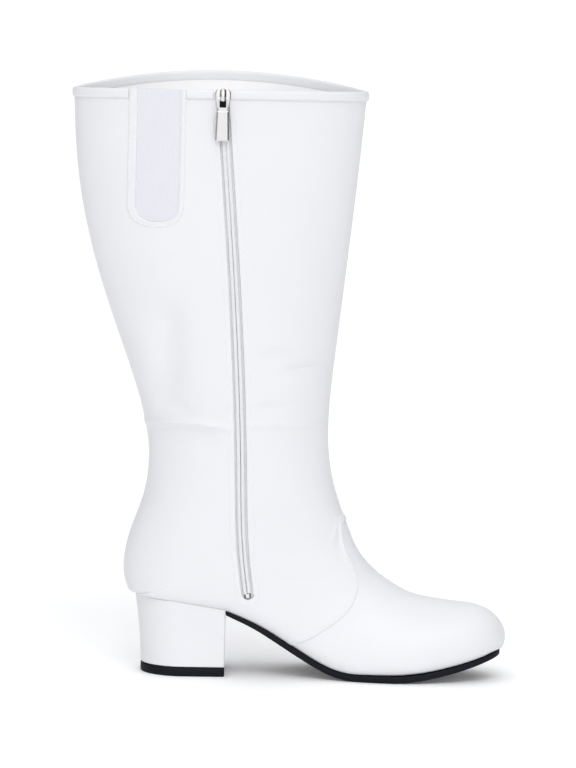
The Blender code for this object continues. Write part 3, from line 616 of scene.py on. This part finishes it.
def stitches(name, path, normals):
    """Row of stitches along a path of points, as one piece."""
    path, normals = np.array(path), np.array(normals)
    run = np.concatenate([[0], np.cumsum(np.linalg.norm(np.diff(path, axis=0), axis=1))])
    points, faces = [], []
    for middle in np.arange(STITCH["pitch"] / 2, run[-1], STITCH["pitch"]):
        ends = [middle + STITCH["length"] * t for t, _ in STITCH_SHAPE]
        spine = np.array([[np.interp(e, run, path[:, k]) for k in range(3)] for e in ends])
        out = np.array([np.interp(middle, run, normals[:, k]) for k in range(3)])
        out /= np.linalg.norm(out)
        along = (spine[-1] - spine[0]) / np.linalg.norm(spine[-1] - spine[0])
        side = np.cross(along, out)
        rings = []
        for centre, (_, share) in zip(spine, STITCH_SHAPE):
            radius = STITCH["radius"] * share
            centre = centre + out * (STITCH["arch"] * share - STITCH["sunk"]) * STITCH["radius"]
            rings.append(round_ring(centre, radius * side, radius * out))
        add_piece(points, faces, *strip(rings))
    dress(new_object(name, points, faces, 1e-7), thread, "white_leather", degrees=80)


seam_turns = np.linspace(-SEAM_ROW_END, SEAM_ROW_END, 240)
for number, behind in enumerate(SEAM_ROWS):
    speed = np.interp(seam_turns, turns, seam_speed)
    path = upper_points(seam_curve(seam_turns) - behind / speed, seam_turns)
    # Sought from a little outside the wall, so that the row lies on top of the lap
    path = path + (path - np.array(FOOT_MIDDLE)) / 75
    found = [wall_tree.find_nearest(Vector(p)) for p in path]
    stitches(f"vamp_stitching_{number + 1}", [hit[0] for hit in found], [hit[1] for hit in found])


# Zip: two woven tapes sewn behind the slot, with a closed nylon coil between them and a metal stop below.
# One row of stitches runs down beside the slot, round its end and up the other side.
TAPE = {"bottom": 50.0, "top": 393.0, "half_width": 11.0, "shoulder": 386.4, "depth": 2.35, "thickness": 0.7}
TAPE |= {"gap": 0.15, "shoulder_rise": 0.4}
COIL = {"bottom": 58.3, "top": 391.7, "pitch": 0.55, "depth": 0.62, "dip": 0.12, "radius": 0.52}
COIL |= {"stretch": 1.45}
COIL_SHAPE = ((2.6, 0.4), (2.4, 0.9), (1.3, 1.0), (0.45, 0.9), (0.13, 0.5))
POST_ROOM = {"z": 391.7, "half_width": 1.5}
ZIP_ROW = {"gap": 3.4, "top": 386.0}
zip_weave = finish(
    "zip_tape_weave", weave, 700.0, ((0.84, 0.85, 0.87), (0.90, 0.905, 0.92)), (0.7, 0.9), (0.2, 0.0002)
)
nylon = finish(
    "white_nylon_coil", grain, 1500.0, ((0.73, 0.735, 0.757), (0.78, 0.785, 0.805)), (0.4, 0.55),
    (0.05, 0.0001)
)


def zip_frame(z):
    """Point on the zip's centre line, and the directions out of the wall, up and towards the toe."""
    point, out = wall_at(zip_x(z), z)
    up = wall_at(zip_x(z + 2), z + 2)[0] - wall_at(zip_x(z - 2), z - 2)[0]
    up /= np.linalg.norm(up)
    return point, out, up, np.cross(up, out)


tape_heights = list(np.linspace(TAPE["bottom"], TAPE["shoulder"], 120))
tape_heights += list(np.linspace(TAPE["shoulder"] + TAPE["shoulder_rise"], TAPE["top"], 6))
for name, side in (("front", 1), ("back", -1)):
    rings = []
    for z in tape_heights:
        wide = TAPE["half_width"] if z <= TAPE["shoulder"] else SLOT_HALF_WIDTH
        near = TAPE["gap"] if z < POST_ROOM["z"] else POST_ROOM["half_width"]
        ring = []
        for depth, shares in ((0.0, np.linspace(0, 1, 7)), (TAPE["thickness"], np.linspace(1, 0, 7))):
            for share in shares:
                x = zip_x(z) + side * (near + (wide - near) * share)
                point, out = wall_at(x, z)
                ring.append(point - out * (TAPE["depth"] + depth))
        rings.append(ring)
    dress(new_object(f"zip_tape_{name}_woven", *strip(rings)), zip_weave, "zip_tape", f"zip_tape_{name}")

points, faces = [], []
for k, z in enumerate(np.arange(COIL["bottom"], COIL["top"], COIL["pitch"])):
    point, out, up, toe = zip_frame(z)
    side = 1 if k % 2 else -1
    rings = []
    for across, share in COIL_SHAPE:
        centre = point - out * (COIL["depth"] + COIL["dip"] * across) + toe * side * across
        wide = COIL["radius"] * share
        rings.append(round_ring(centre, COIL["stretch"] * wide * up, wide * out))
    add_piece(points, faces, *strip(rings))
dress(new_object("zip_coil_teeth", points, faces, 1e-7), nylon, "zip_coil", "zip_coil", degrees=80)

row_out = SLOT_HALF_WIDTH + ZIP_ROW["gap"]
end_z = SLOT_BOTTOM + SLOT_HALF_WIDTH
side_heights = np.linspace(end_z, ZIP_ROW["top"], 110)
path = [(zip_x(z) - row_out, z) for z in side_heights[::-1]]
for angle in np.linspace(math.pi, 2 * math.pi, 24)[1:-1]:
    path.append((zip_x(end_z) + row_out * math.cos(angle), end_z + row_out * math.sin(angle)))
path += [(zip_x(z) + row_out, z) for z in side_heights]
on_wall = [wall_at(x, z) for x, z in path]
stitches("zip_stitching", [p for p, _ in on_wall], [n for _, n in on_wall])


# Slider and pull tab: plated metal. The slider's two plates hold the tapes, its post parts them at the top,
# and its bridge holds the tab's bar. The tab hangs and swings on the bridge.
SLIDER = {"on_zip": 389.3, "z": 389.9, "width": 10.4, "mouth": 8.6, "height": 14.6}
SLIDER |= {"plate": 1.3, "lift": 0.45}
INNER_PLATE = {"width": 9.0, "mouth": 7.8, "gap": 0.6, "thickness": 1.0}
POST = {"width": 2.4, "bottom": 392.1, "top": 395.5, "into_plate": 0.6, "into_inner": 0.5}
POCKET = {"width": 4.4, "bottom": 384.3, "top": 388.9, "depth": 1.0}
BRIDGE = {"width": 4.2, "thickness": 1.0}
BRIDGE_PATH = ((1.45, 388.6), (2.6, 388.6), (3.6, 388.75), (4.4, 389.4), (4.8, 390.4), (4.9, 391.6))
BRIDGE_PATH += ((4.75, 393.0), (4.2, 394.4), (3.4, 395.4), (2.4, 396.3), (1.5, 396.9))
PIVOT = {"out": 3.0, "z": 390.4}
TAB = {"thickness": 1.4, "crown": 0.7, "top": 8.0, "foot": 9.2, "length": 20.0, "overlap": 0.6}
TAB |= {"neck": (6.2, 8.6), "eye": (4.6, 5.8)}
# The second and third platings are darker copies of the first that paint shade and dark reflections: the
# darkest on faces turned towards the toe, the mid grey on faces turned towards the heel.
PLATING = {
    "plated_metal": (((0.705, 0.692, 0.692), (0.765, 0.75, 0.75)), (0.03, 0.08), 0.004),
    "plated_metal_painted_half_shade": (((0.40, 0.395, 0.395), (0.50, 0.49, 0.49)), (0.1, 0.2), 0.01),
    "plated_metal_painted_deep_shade": (((0.14, 0.14, 0.15), (0.24, 0.24, 0.25)), (0.15, 0.3), 0.03),
}
# How far a face must turn towards the toe or the heel to take the painted shade
PAINTED_SHADE_FROM = {"toe": 0.3, "heel": -0.4}
plated, plated_painted_half_shade, plated_painted_deep_shade = [
    finish(name, grain, 260.0, colours, roughness, (bump, 0.0001), Metallic=1.0)
    for name, (colours, roughness, bump) in PLATING.items()
]
# Near-black metal that paints the shadow inside the slider's pocket
painted_shadow_metal = finish(
    "painted_shadow_recess", grain, 900.0, ((0.008, 0.008, 0.01), (0.02, 0.02, 0.024)), (0.5, 0.7), (0.1, 0.0001),
    Specular_IOR_Level=0.1
)
slider_x = float(zip_x(SLIDER["on_zip"]))
wall_y = float(upper_points(np.array(0.1), np.array(-0.5))[1])


def bevelled(name, outline, y0, y1, bevel):
    """Plate with an (x, z) outline from y0 to y1 and rounded edges."""
    made = prism(name, outline, y0, y1)
    rounded = made.modifiers.new("edge", "BEVEL")
    rounded.width = bevel * MM
    rounded.segments = 3
    rounded.limit_method = "ANGLE"
    rounded.angle_limit = math.radians(50)
    applied(made)
    return made


def rounded_rectangle(x0, x1, z0, z1, radius, steps=5):
    """Rectangle with round corners, as (x, z) points."""
    left, right, low, high = x0 + radius, x1 - radius, z0 + radius, z1 - radius
    outline = []
    for quarter, (x, z) in enumerate(((right, high), (left, high), (left, low), (right, low))):
        for k in range(steps + 1):
            angle = math.pi / 2 * (quarter + k / steps)
            outline.append((x + radius * math.cos(angle), z + radius * math.sin(angle)))
    return outline


def shield(width, mouth):
    """Slider's plate: wide round shoulders over a narrower mouth."""
    outline = []
    for k in range(40):
        angle = 2 * math.pi * k / 40
        across, up = (math.copysign(abs(v) ** 0.55, v) for v in (math.cos(angle), math.sin(angle)))
        wide = mouth + (width - mouth) * min(1.0, max(0.0, 0.5 + 0.9 * up))
        outline.append((slider_x + wide / 2 * across, SLIDER["z"] + SLIDER["height"] / 2 * up))
    return outline


def centred_block(name, size, y0, y1):
    """Block with round corners on the slider's centre line."""
    half = size["width"] / 2
    outline = rounded_rectangle(slider_x - half, slider_x + half, size["bottom"], size["top"], 0.5)
    return prism(name, outline, y0, y1)


def bridge_rings(path, width, thickness):
    """Arch of a crowned bar, along (out, z) points."""
    path = np.array(path)
    slope = np.gradient(path, axis=0)
    slope /= np.linalg.norm(slope, axis=1)[:, None]
    rings = []
    for (out, z), (step_out, step_z) in zip(path, slope):
        ring = []
        crown = [(width / 2 * t, thickness * (0.5 - 0.9 * t * t)) for t in np.linspace(-1, 1, 11)]
        for across, rise in [(-width / 2, -thickness / 2)] + crown + [(width / 2, -thickness / 2)]:
            ring.append((slider_x + across, wall_y - (out + step_z * rise), z - step_out * rise))
        rings.append(ring)
    return strip(rings)


def plate(made):
    """Plates a piece, with painted shade: darker metal on faces turned to the toe or the heel, near black in
    the pocket.
    """
    for surface in (plated, plated_painted_deep_shade, painted_shadow_metal, plated_painted_half_shade):
        made.data.materials.append(surface)
    for polygon in made.data.polygons:
        if polygon.material_index != 2:
            turned = polygon.normal.x
            flank = 3 if turned < PAINTED_SHADE_FROM["heel"] else 0
            polygon.material_index = 1 if turned > PAINTED_SHADE_FROM["toe"] else flank


plate_back = wall_y - SLIDER["lift"]
plate_face = plate_back - SLIDER["plate"]
inner_face = wall_y + WALL + TAPE["thickness"] + INNER_PLATE["gap"]
inner_back = inner_face + INNER_PLATE["thickness"]
slider = bevelled("zip_slider_body", shield(SLIDER["width"], SLIDER["mouth"]), plate_back, plate_face, 0.6)
inner_outline = shield(INNER_PLATE["width"], INNER_PLATE["mouth"])
inner_plate = bevelled("inner_plate", inner_outline, inner_face, inner_back, 0.25)
post = centred_block("post", POST, plate_back - POST["into_plate"], inner_face + POST["into_inner"])
bridge = new_object("bridge", *bridge_rings(BRIDGE_PATH, BRIDGE["width"], BRIDGE["thickness"]))
pocket = centred_block("pocket", POCKET, plate_face - POCKET["depth"], plate_face + POCKET["depth"])
# The pocket's faces take the painted shadow
pocket.data.polygons.foreach_set("material_index", [2] * len(pocket.data.polygons))
applied(slider, ("UNION", inner_plate), ("UNION", post), ("DIFFERENCE", pocket), ("UNION", bridge))
plate(slider)
dress(slider, None, "polished_metal", "zip_slider", degrees=40)

pivot = np.array([slider_x, wall_y - PIVOT["out"], PIVOT["z"]])
half = TAB["thickness"] / 2
neck_half, neck_down = TAB["neck"][0] / 2, TAB["neck"][1]
eye_half, eye_down = TAB["eye"][0] / 2, TAB["eye"][1]
blade_top = TAB["overlap"] - neck_down


def blade_ring(y, inset):
    """Outline of the tab's blade at depth y, drawn in from its edge."""
    ring = []
    for x, z in rounded_rectangle(-0.5, 0.5, blade_top - TAB["length"] + inset, blade_top - inset, 0.1):
        wide = TAB["top"] + (TAB["foot"] - TAB["top"]) * (blade_top - z) / TAB["length"]
        ring.append((x * (wide - 2 * inset), y, z))
    return ring


blade_rings = [blade_ring(half, 0.3), blade_ring(half - 0.3, 0.0), blade_ring(-half + 0.2, 0.0)]
blade_rings.append(blade_ring(-half - TAB["crown"], 1.0))
tab = new_object("zip_pull_tab_blade", *strip(blade_rings))
neck = bevelled("neck", rounded_rectangle(-neck_half, neck_half, -neck_down, 0.8, 0.7), -half, half, 0.3)
eye = prism("eye", rounded_rectangle(-eye_half, eye_half, -eye_down, 4.0, 0.5), -2.0, 2.0)
applied(neck, ("DIFFERENCE", eye))
rings = [
    [(x, half * math.cos(math.pi * k / 10), half * math.sin(math.pi * k / 10)) for k in range(20)]
    for x in (-eye_half - 0.8, eye_half + 0.8)
]
bar = new_object("bar", *strip(rings))
applied(tab, ("UNION", neck), ("UNION", bar))
tab.location = pivot * MM
plate(tab)
dress(tab, None, "polished_metal", "zip_pull_tab", body="pull_tab", degrees=25)


# Bottom stop: a small plated metal staple that holds the coil's lower end together.
# It is bent over the coil, and its legs are pressed into the tapes. They and its underside take the darkest
# plating as painted shade.
STAPLE = {"z": 56.3, "half_width": 2.2, "half_height": 1.4, "half_thickness": 0.5}
STAPLE |= {"sunk": 0.8, "bend": 0.5, "legs_from": 0.9}
point, out, up, toe = zip_frame(STAPLE["z"])
wide, high, thick = (STAPLE["half_" + size] for size in ("width", "height", "thickness"))
rings = []
for across in np.linspace(-wide, wide, 9):
    sunk = STAPLE["sunk"] + STAPLE["bend"] * (across / wide) ** 4
    ring = []
    for rise, deep in rounded_rectangle(-high, high, -thick, thick, 0.4, 3):
        ring.append(point + toe * across + up * rise + out * (deep - sunk))
    rings.append(ring)
staple = new_object("zip_bottom_staple", *strip(rings))
for surface in (plated, plated_painted_deep_shade):
    staple.data.materials.append(surface)
for polygon in staple.data.polygons:
    leg = abs((np.array(polygon.center) / MM - point) @ toe) > STAPLE["legs_from"]
    polygon.material_index = 1 if leg or polygon.normal.z < -0.5 else 0
dress(staple, None, "polished_metal", "zip_bottom_stop", degrees=50)


# Elastic gusset: a panel of ribbed elastic knit that fills the U-shaped notch and stretches round the calf.
# It is sewn in behind the notch's edge, with its ribs up and down.
COLLAR = {"edge": 392.8, "top": 395.6}
RIB = {"pitch": 1.25, "height": 0.12, "depth": 0.4, "thickness": 1.0, "inset": 0.02}
elastic_knit = finish(
    "white_elastic_knit", weave, 520.0, ((0.70, 0.703, 0.762), (0.745, 0.748, 0.805)), (0.75, 0.95),
    (0.3, 0.0002), Sheen_Weight=0.15
)


def collar_wall_at(x, z):
    """Point on the medial wall, carried straight up past its edge, and the direction out of it."""
    point, out = wall_at(x, min(z, COLLAR["edge"]))
    return point + np.array([0.0, 0.0, max(0.0, z - COLLAR["edge"])]), out


left, right = notch_sides[0] + RIB["inset"], notch_sides[1] - RIB["inset"]
columns = np.linspace(0, 1, int((right - left) / RIB["pitch"]) * 8 + 1)
bowl = u_outline(left, right, NOTCH["bottom"] + RIB["inset"], NOTCH["round"], steps=48)[1:-1]
bowl_left = bowl[: len(bowl) // 2 + 1][::-1]
heights = [z for _, z in bowl_left[1:]] + list(np.linspace(bowl_left[-1][1], COLLAR["top"], 46)[1:])
rings = []
for z in heights:
    x0 = np.interp(z, [p[1] for p in bowl_left], [p[0] for p in bowl_left])
    x1 = left + right - x0
    front, behind = [], []
    for x in x0 + (x1 - x0) * columns:
        point, out = collar_wall_at(x, z)
        rib = RIB["height"] * abs(math.sin(math.pi * (x - left) / RIB["pitch"]))
        front.append(point - out * (RIB["depth"] - rib))
        behind.append(point - out * (RIB["depth"] + RIB["thickness"]))
    rings.append(front + behind[::-1])
dress(new_object("elastic_panel", *strip(rings)), elastic_knit, "white_elastic", "elastic_gusset", degrees=60)


# Gusset facing: a band of the upper's leather round the notch, which covers the elastic's sewn edge.
# Both its edges are turned under, and two rows of stitches hold it down.
FACING = {"back": 5.6, "front": 3.8, "below": 3.8, "height": 0.5, "rows": (0.24, 0.78)}
FACING_PROFILE = ((0.0, -0.6), (0.0, -0.15), (0.06, 0.12), (0.18, 0.36), (0.4, 0.5), (0.7, 0.5))
FACING_PROFILE += ((0.88, 0.42), (0.97, 0.26), (1.0, 0.05), (1.0, -0.2))


def facing_outline(x0, x1, bottom, rounding):
    """U as evenly spaced points, from the collar down one side and up the other."""
    bend = u_outline(x0, x1, bottom, rounding, steps=40)[1:-1]
    down = [(x0, z) for z in np.linspace(COLLAR["top"], bend[0][1], 40)[:-1]]
    return down + bend + [(x1, z) for _, z in down[::-1]]


inner_edge = facing_outline(*notch_sides, NOTCH["bottom"], NOTCH["round"])
outer_edge = facing_outline(
    notch_sides[0] - FACING["back"], notch_sides[1] + FACING["front"],
    NOTCH["bottom"] - FACING["below"], NOTCH["round"] + FACING["below"],
)


def facing_point(k, share, height):
    """Point on the band, across it and over the wall by a height, and the direction out of the wall."""
    x, z = (a + (b - a) * share for a, b in zip(inner_edge[k], outer_edge[k]))
    point, out = collar_wall_at(x, z)
    return point + out * height, out


rings = []
for k in range(len(inner_edge)):
    rings.append([facing_point(k, share, height)[0] for share, height in FACING_PROFILE])
band = new_object("gusset_facing_band", *strip(rings))
dress(band, white_leather, "white_leather", "gusset_facing", degrees=60)
for number, share in enumerate(FACING["rows"]):
    row = [facing_point(k, share, FACING["height"]) for k in range(2, len(inner_edge) - 2)]
    stitches(f"facing_stitching_{number + 1}", [p for p, _ in row], [n for _, n in row])


# Collar binding: a strip of the upper's leather, folded over the collar's raw edge and sewn through once.
# The long length runs from the zip round to the elastic, and the short one lies between them.
BINDING = {"row_out": 1.33, "row_down": 3.9, "slider_gap": 0.6, "facing_gap": 0.05, "zip_z": 394.0}
BINDING_PROFILE = (
    (0.15, -5.3), (0.75, -5.2), (1.15, -4.6), (1.32, -3.4), (1.35, -2.0), (1.25, -0.6), (0.95, 0.5),
    (0.35, 1.1), (-0.6, 1.3), (-1.5, 1.2), (-2.1, 0.8), (-2.4, 0.0), (-2.45, -1.5), (-2.45, -3.6),
    (-2.38, -4.6), (-2.22, -5.1), (-2.05, -5.3), (-2.05, 0.2), (-1.0, 0.35), (0.15, 0.2),
)
RIM_MIDDLE = (16.5, 0.0, 394.0)
rim_turns = np.linspace(-1, 1, 321)
rim_points = upper_points(0 * rim_turns, rim_turns)
rim_up = rim_points - upper_points(0 * rim_turns + 0.12, rim_turns)
rim_up /= np.linalg.norm(rim_up, axis=1)[:, None]
rim_around = np.gradient(rim_points, axis=0)
rim_around[0] = rim_around[-1] = rim_around[0] + rim_around[-1]
rim_out = np.cross(rim_around, rim_up)
rim_out /= np.linalg.norm(rim_out, axis=1)[:, None]
rim_out *= np.sign(np.sum(rim_out * (rim_points - np.array(RIM_MIDDLE)), axis=1))[:, None]


def rim_turn(x):
    """The turn at which the medial side of the rim has this x."""
    medial_side = rim_turns <= 0
    return float(np.interp(x, rim_points[medial_side, 0], rim_turns[medial_side]))


def binding(name, start, end, node):
    """Length of binding between two turns, going on past 1 to the medial side again."""
    path = np.linspace(start, end, max(24, int((end - start) * 170)))
    where = (path + 1) % 2 - 1
    frames = [
        np.stack([np.interp(where, rim_turns, part[:, k]) for k in range(3)], 1)
        for part in (rim_points, rim_out, rim_up)
    ]
    rings = [[p + out * n + rise * u for out, rise in BINDING_PROFILE] for p, n, u in zip(*frames)]
    dress(new_object(name, *strip(rings)), white_leather, "white_leather", node, degrees=60)
    line = frames[0] + BINDING["row_out"] * frames[1] - BINDING["row_down"] * frames[2]
    stitches(name + "_stitching", line[2:-2], frames[1][2:-2])


clear = SLIDER["width"] / 2 + BINDING["slider_gap"]
zip_top = float(zip_x(BINDING["zip_z"]))
facing_back = notch_sides[0] - FACING["back"] - BINDING["facing_gap"]
facing_front = notch_sides[1] + FACING["front"] + BINDING["facing_gap"]
binding("collar_binding_roll", rim_turn(zip_top + clear), rim_turn(facing_back) + 2, "collar_binding")
binding("collar_binding_short", rim_turn(facing_front), rim_turn(zip_top - clear), "collar_binding_tab")


# Insole: a stiff board with a pale woven sock glued on it.
# It lies on the sole, inside the upper's turned edge, and rises a little at its sides.
INSOLE = {"thickness": 2.4, "inset": 1.2, "start": -31.0, "end": 204.0, "dish": 0.8, "bevel": 0.5}
sock = finish("pale_sock", weave, 300.0, ((0.68, 0.67, 0.65), (0.76, 0.75, 0.73)), (0.8, 0.95), (0.2, 0.0003))
rings = []
middle, reach = (INSOLE["start"] + INSOLE["end"]) / 2, (INSOLE["end"] - INSOLE["start"]) / 2
for angle in np.linspace(-80, 80, 90):
    x = middle + reach * math.sin(math.radians(angle))
    medial, lateral = (float(v) for v in opening_sides(x))
    medial, lateral = medial + INSOLE["inset"], lateral - INSOLE["inset"]
    low = float(bottom_z(x))
    ring = [(x, medial, low), (x, lateral, low)]
    for t in np.linspace(0, 1, 13):
        bevel = INSOLE["bevel"] if t in (0.0, 1.0) else 0.0
        z = low + INSOLE["thickness"] + INSOLE["dish"] * (2 * t - 1) ** 4 - bevel
        ring.append((x, lateral + (medial - lateral) * t, z))
    rings.append(ring)
dress(new_object("insole_sock", *strip(rings)), sock, "insole_board", "insole", degrees=50)


# Outsole: thin black rubber from the heel's breast to the toe, cemented under the upper.
# A small lip stands up round its edge, and fine ribs cross it underneath.
SOLE_THICKNESS = ((28.0, 2.0), (45.0, 3.0), (62.0, 4.1), (80.0, 4.3), (117.0, 4.2), (138.0, 4.2))
SOLE_THICKNESS += ((176.0, 3.9), (215.5, 3.4))
SOLE = {"start": 28.3, "end": 215.4, "joint": 0.3, "flat": (117.0, 138.0), "row": 0.8, "toe": 200.0}
SOLE_EDGE = {"wide": 1.3, "lip": 0.8, "lip_fade": 12.0}
RIBS = {"start": 44.0, "depth": 0.35, "pitch": 4.0, "groove": 1.2, "border": 5.0}
black_rubber = finish(
    "black_rubber_sole", grain, 1200.0, ((0.005, 0.0055, 0.0085), (0.010, 0.0105, 0.0155)), (0.5, 0.7),
    (0.12, 0.0002), Specular_IOR_Level=0.12
)
sole_thickness = curve_through(SOLE_THICKNESS)
sole_xs = list(np.arange(SOLE["start"], SOLE["toe"], SOLE["row"]))
sole_xs += [SOLE["toe"] + (SOLE["end"] - SOLE["toe"]) * math.sin(math.pi / 2 * k / 26) for k in range(1, 27)]
rings = []
for x in sole_xs:
    medial, lateral = (float(v) for v in plan_sides(x))
    top = float(bottom_z(x)) - SOLE["joint"]
    thick = top if SOLE["flat"][0] <= x <= SOLE["flat"][1] else float(sole_thickness(x))
    low = max(top - thick, 0.0)
    wide = lateral - medial
    edge = min(SOLE_EDGE["wide"], 0.2 * wide)
    lip = SOLE_EDGE["lip"] * min(1.0, wide / SOLE_EDGE["lip_fade"])
    ribbed = RIBS["start"] < x < SOLE["toe"] and wide > 3 * RIBS["border"]
    cut = RIBS["depth"] if ribbed and x % RIBS["pitch"] < RIBS["groove"] else 0.0
    border = min(RIBS["border"], 0.3 * wide)
    side = [(0.9 * edge, top), (0.25 * edge, top + lip), (0.0, top + lip - 0.3), (0.0, low + 0.45 * thick)]
    side += [(0.12 * edge, low + 0.2 * thick), (0.45 * edge, low + 0.06 * thick), (edge, low)]
    side += [(border, low), (border + 0.3, low + cut)]
    ring = [(x, medial + a, z) for a, z in side]
    rings.append(ring + [(x, lateral - a, z) for a, z in side[::-1]])
dress(new_object("outsole_rubber", *strip(rings)), black_rubber, "black_rubber", "outsole", degrees=50)


# Heel: a moulded block covered in the upper's leather, slightly hollow behind, fixed under the seat.
# Its front corners are rounded, and a top piece of black rubber is nailed under it.
HEEL = {"breast": 28.0, "foot_back": -28.3, "foot_width": 0.93, "hollow": 0.8, "side_hollow": 0.6}
HEEL |= {"corner": 1.4, "top_piece": 6.2, "joint": 0.3}
SEAT = {"below": 5.0, "gap": 0.2, "highest": 1.6, "inward": 4.0}
TREAD_PROFILE = ((0.0, 0.985), (0.5, 1.0), (5.7, 1.0), (6.2, 0.99))


def seat_outline():
    """Heel seat from above, from the lateral breast corner round the back to the medial one."""
    xs = list(np.linspace(HEEL["breast"], PLAN[0][0], 26))
    xs += [PLAN[0][0] - (PLAN[0][0] - HEEL_END) * math.sin(math.radians(a)) for a in np.linspace(3, 87, 29)]
    lateral = [(x, float(plan_sides(x)[1])) for x in xs]
    medial = [(x, float(plan_sides(x)[0])) for x in xs]
    outline = lateral + [(HEEL_END, 0.0)] + medial[::-1]
    r = HEEL["corner"]
    corners = []
    for k in range(1, 6):
        a = math.pi / 2 * k / 6
        corners.append((HEEL["breast"] - r + r * math.sin(a), r - r * math.cos(a)))
    (x0, y0), (x1, y1) = outline[0], outline[-1]
    start = [(x, y0 - inward) for x, inward in reversed(corners)]
    end = [(x, y1 + inward) for x, inward in corners]
    kept = [p for p in outline if p[0] <= HEEL["breast"] - r]
    return [(HEEL["breast"], y0 - r)] + start + kept + end + [(HEEL["breast"], y1 + r)]


seat = seat_outline()
stretch = (HEEL["breast"] - HEEL["foot_back"]) / (HEEL["breast"] - HEEL_END)


def heel_ring(t, low, out=0.0):
    """Outline of the heel at share t of its height."""
    ring = []
    for x, y in seat:
        foot = np.array([HEEL["breast"] + (x - HEEL["breast"]) * stretch, y * HEEL["foot_width"]])
        point = foot + (np.array([x, y]) - foot) * t
        behind = (HEEL["breast"] - x) / (HEEL["breast"] - HEEL_END)
        hollow = np.array([behind, -np.sign(y) * HEEL["side_hollow"]])
        point += hollow * HEEL["hollow"] * math.sin(math.pi * t)
        point += np.array([-behind, np.sign(y)]) * out
        ring.append((point[0], point[1], low + (float(bottom_z(x)) - SOLE["joint"] - low) * t))
    return ring


def seat_lip(x, y):
    """Height at which the heel's cover meets the curve of the upper above it."""
    seat_z = float(bottom_z(x))
    hit = wall_tree.ray_cast(Vector((x, y, seat_z - SEAT["below"])), Vector((0.0, 0.0, 1.0)))[0]
    return min(hit.z - SEAT["gap"], seat_z + SEAT["highest"]) if hit else seat_z


low = HEEL["top_piece"] + HEEL["joint"]
heel_rings = [heel_ring(0.0, low, -0.5)] + [heel_ring(t, low) for t in np.linspace(0.008, 0.97, 25)]
heel_rings.append([(x, y, seat_lip(x, y)) for x, y, _ in heel_ring(1.0, low)])
heel_rings.append(heel_ring(1.0, low, -SEAT["inward"]))
dress(new_object("heel_cover", *strip(heel_rings)), white_leather, "white_leather", "heel_block", degrees=40)

foot_outline = heel_ring(0.0, low)
rings = [[(x * pull, y * pull, z) for x, y, _ in foot_outline] for z, pull in TREAD_PROFILE]
dress(new_object("heel_tread", *strip(rings)), black_rubber, "black_rubber", "heel_top_piece", degrees=40)


# Studio: a plain white floor, a soft sky that is strongest above and in front and dim at both sides,
# a weak sun, and a small lamp that lights the lining.
# The camera stands where the photograph was taken from.
CAMERA = {"place": (-0.053, -2.95, 0.52), "aim": (0.067, 0.0, 0.197), "lens": 206.0, "roll": 1.5}
SKY = {"all_round": 0.60, "above": 0.60, "front": 0.70}
SKY_SIDES = ((1.0, -0.97, 2.5), (-1.0, -0.9, 2.0))
FLOOR_HALF = 60.0
scene = bpy.context.scene
mesh = bpy.data.meshes.new("floor")
corners = ((-1, -1), (1, -1), (1, 1), (-1, 1))
mesh.from_pydata([(FLOOR_HALF * x, FLOOR_HALF * y, 0.0) for x, y in corners], [], [(0, 1, 2, 3)])
floor = bpy.data.objects.new("floor", mesh)
scene.collection.objects.link(floor)
floor.data.materials.append(
    finish(
        "white_floor", grain, 30.0, ((0.97, 0.972, 0.976), (0.98, 0.982, 0.986)), (0.6, 0.7), (0.0, 0.0001),
        Emission_Strength=0.08
    )
)

world = bpy.data.worlds.new("studio")
scene.world = world
world.use_nodes = True
sky_nodes = world.node_tree
sky = next(n for n in sky_nodes.nodes if n.type == "BACKGROUND")
direction = add_node(sky_nodes, "TexCoord").outputs["Generated"]
axes = add_node(sky_nodes, "SeparateXYZ", Vector=direction).outputs


def towards(axis, sign):
    """How far a direction of the sky points along an axis, or 0 behind it."""
    return calculated(sky_nodes, "MAXIMUM", calculated(sky_nodes, "MULTIPLY", axes[axis], sign), 0.0)


strength = calculated(sky_nodes, "MULTIPLY_ADD", towards("Z", 1.0), SKY["above"], SKY["all_round"])
strength = calculated(sky_nodes, "MULTIPLY_ADD", towards("Y", -1.0), SKY["front"], strength)
for sign, share, power in SKY_SIDES:
    side = calculated(sky_nodes, "POWER", towards("X", sign), power)
    dim = calculated(sky_nodes, "MULTIPLY_ADD", side, share, 1.0)
    strength = calculated(sky_nodes, "MULTIPLY", strength, dim)
sky_nodes.links.new(strength, sky.inputs["Strength"])
sky.inputs["Color"].default_value = (0.99, 0.992, 1.0, 1.0)


def lamp(name, kind, energy, place, aim, **settings):
    """Light that the camera doesn't see, at a place and turned to its aim."""
    light = bpy.data.lights.new(name, kind)
    light.energy = energy
    for label, value in settings.items():
        setattr(light, label, value)
    made = bpy.data.objects.new(name, light)
    scene.collection.objects.link(made)
    made.location = place
    made.rotation_euler = (Vector(aim) - Vector(place)).to_track_quat("-Z", "Y").to_euler()
    made.visible_camera = False


lamp("overhead", "SUN", 0.45, (0.0, -0.63, 0.77), (0.0, 0.0, 0.0), angle=0.5)
lamp("inside", "AREA", 0.011, (0.017, -0.012, 0.36), (0.017, 0.05, 0.40), size=0.05)

camera = bpy.data.objects.new("camera", bpy.data.cameras.new("camera"))
scene.collection.objects.link(camera)
camera.data.lens = CAMERA["lens"]
camera.data.clip_end = 200.0
camera.location = CAMERA["place"]
look = (Vector(CAMERA["aim"]) - Vector(CAMERA["place"])).to_track_quat("-Z", "Y")
camera.rotation_mode = "QUATERNION"
camera.rotation_quaternion = look @ Quaternion((0, 0, 1), math.radians(CAMERA["roll"]))
scene.camera = camera
scene.view_settings.view_transform = "Standard"
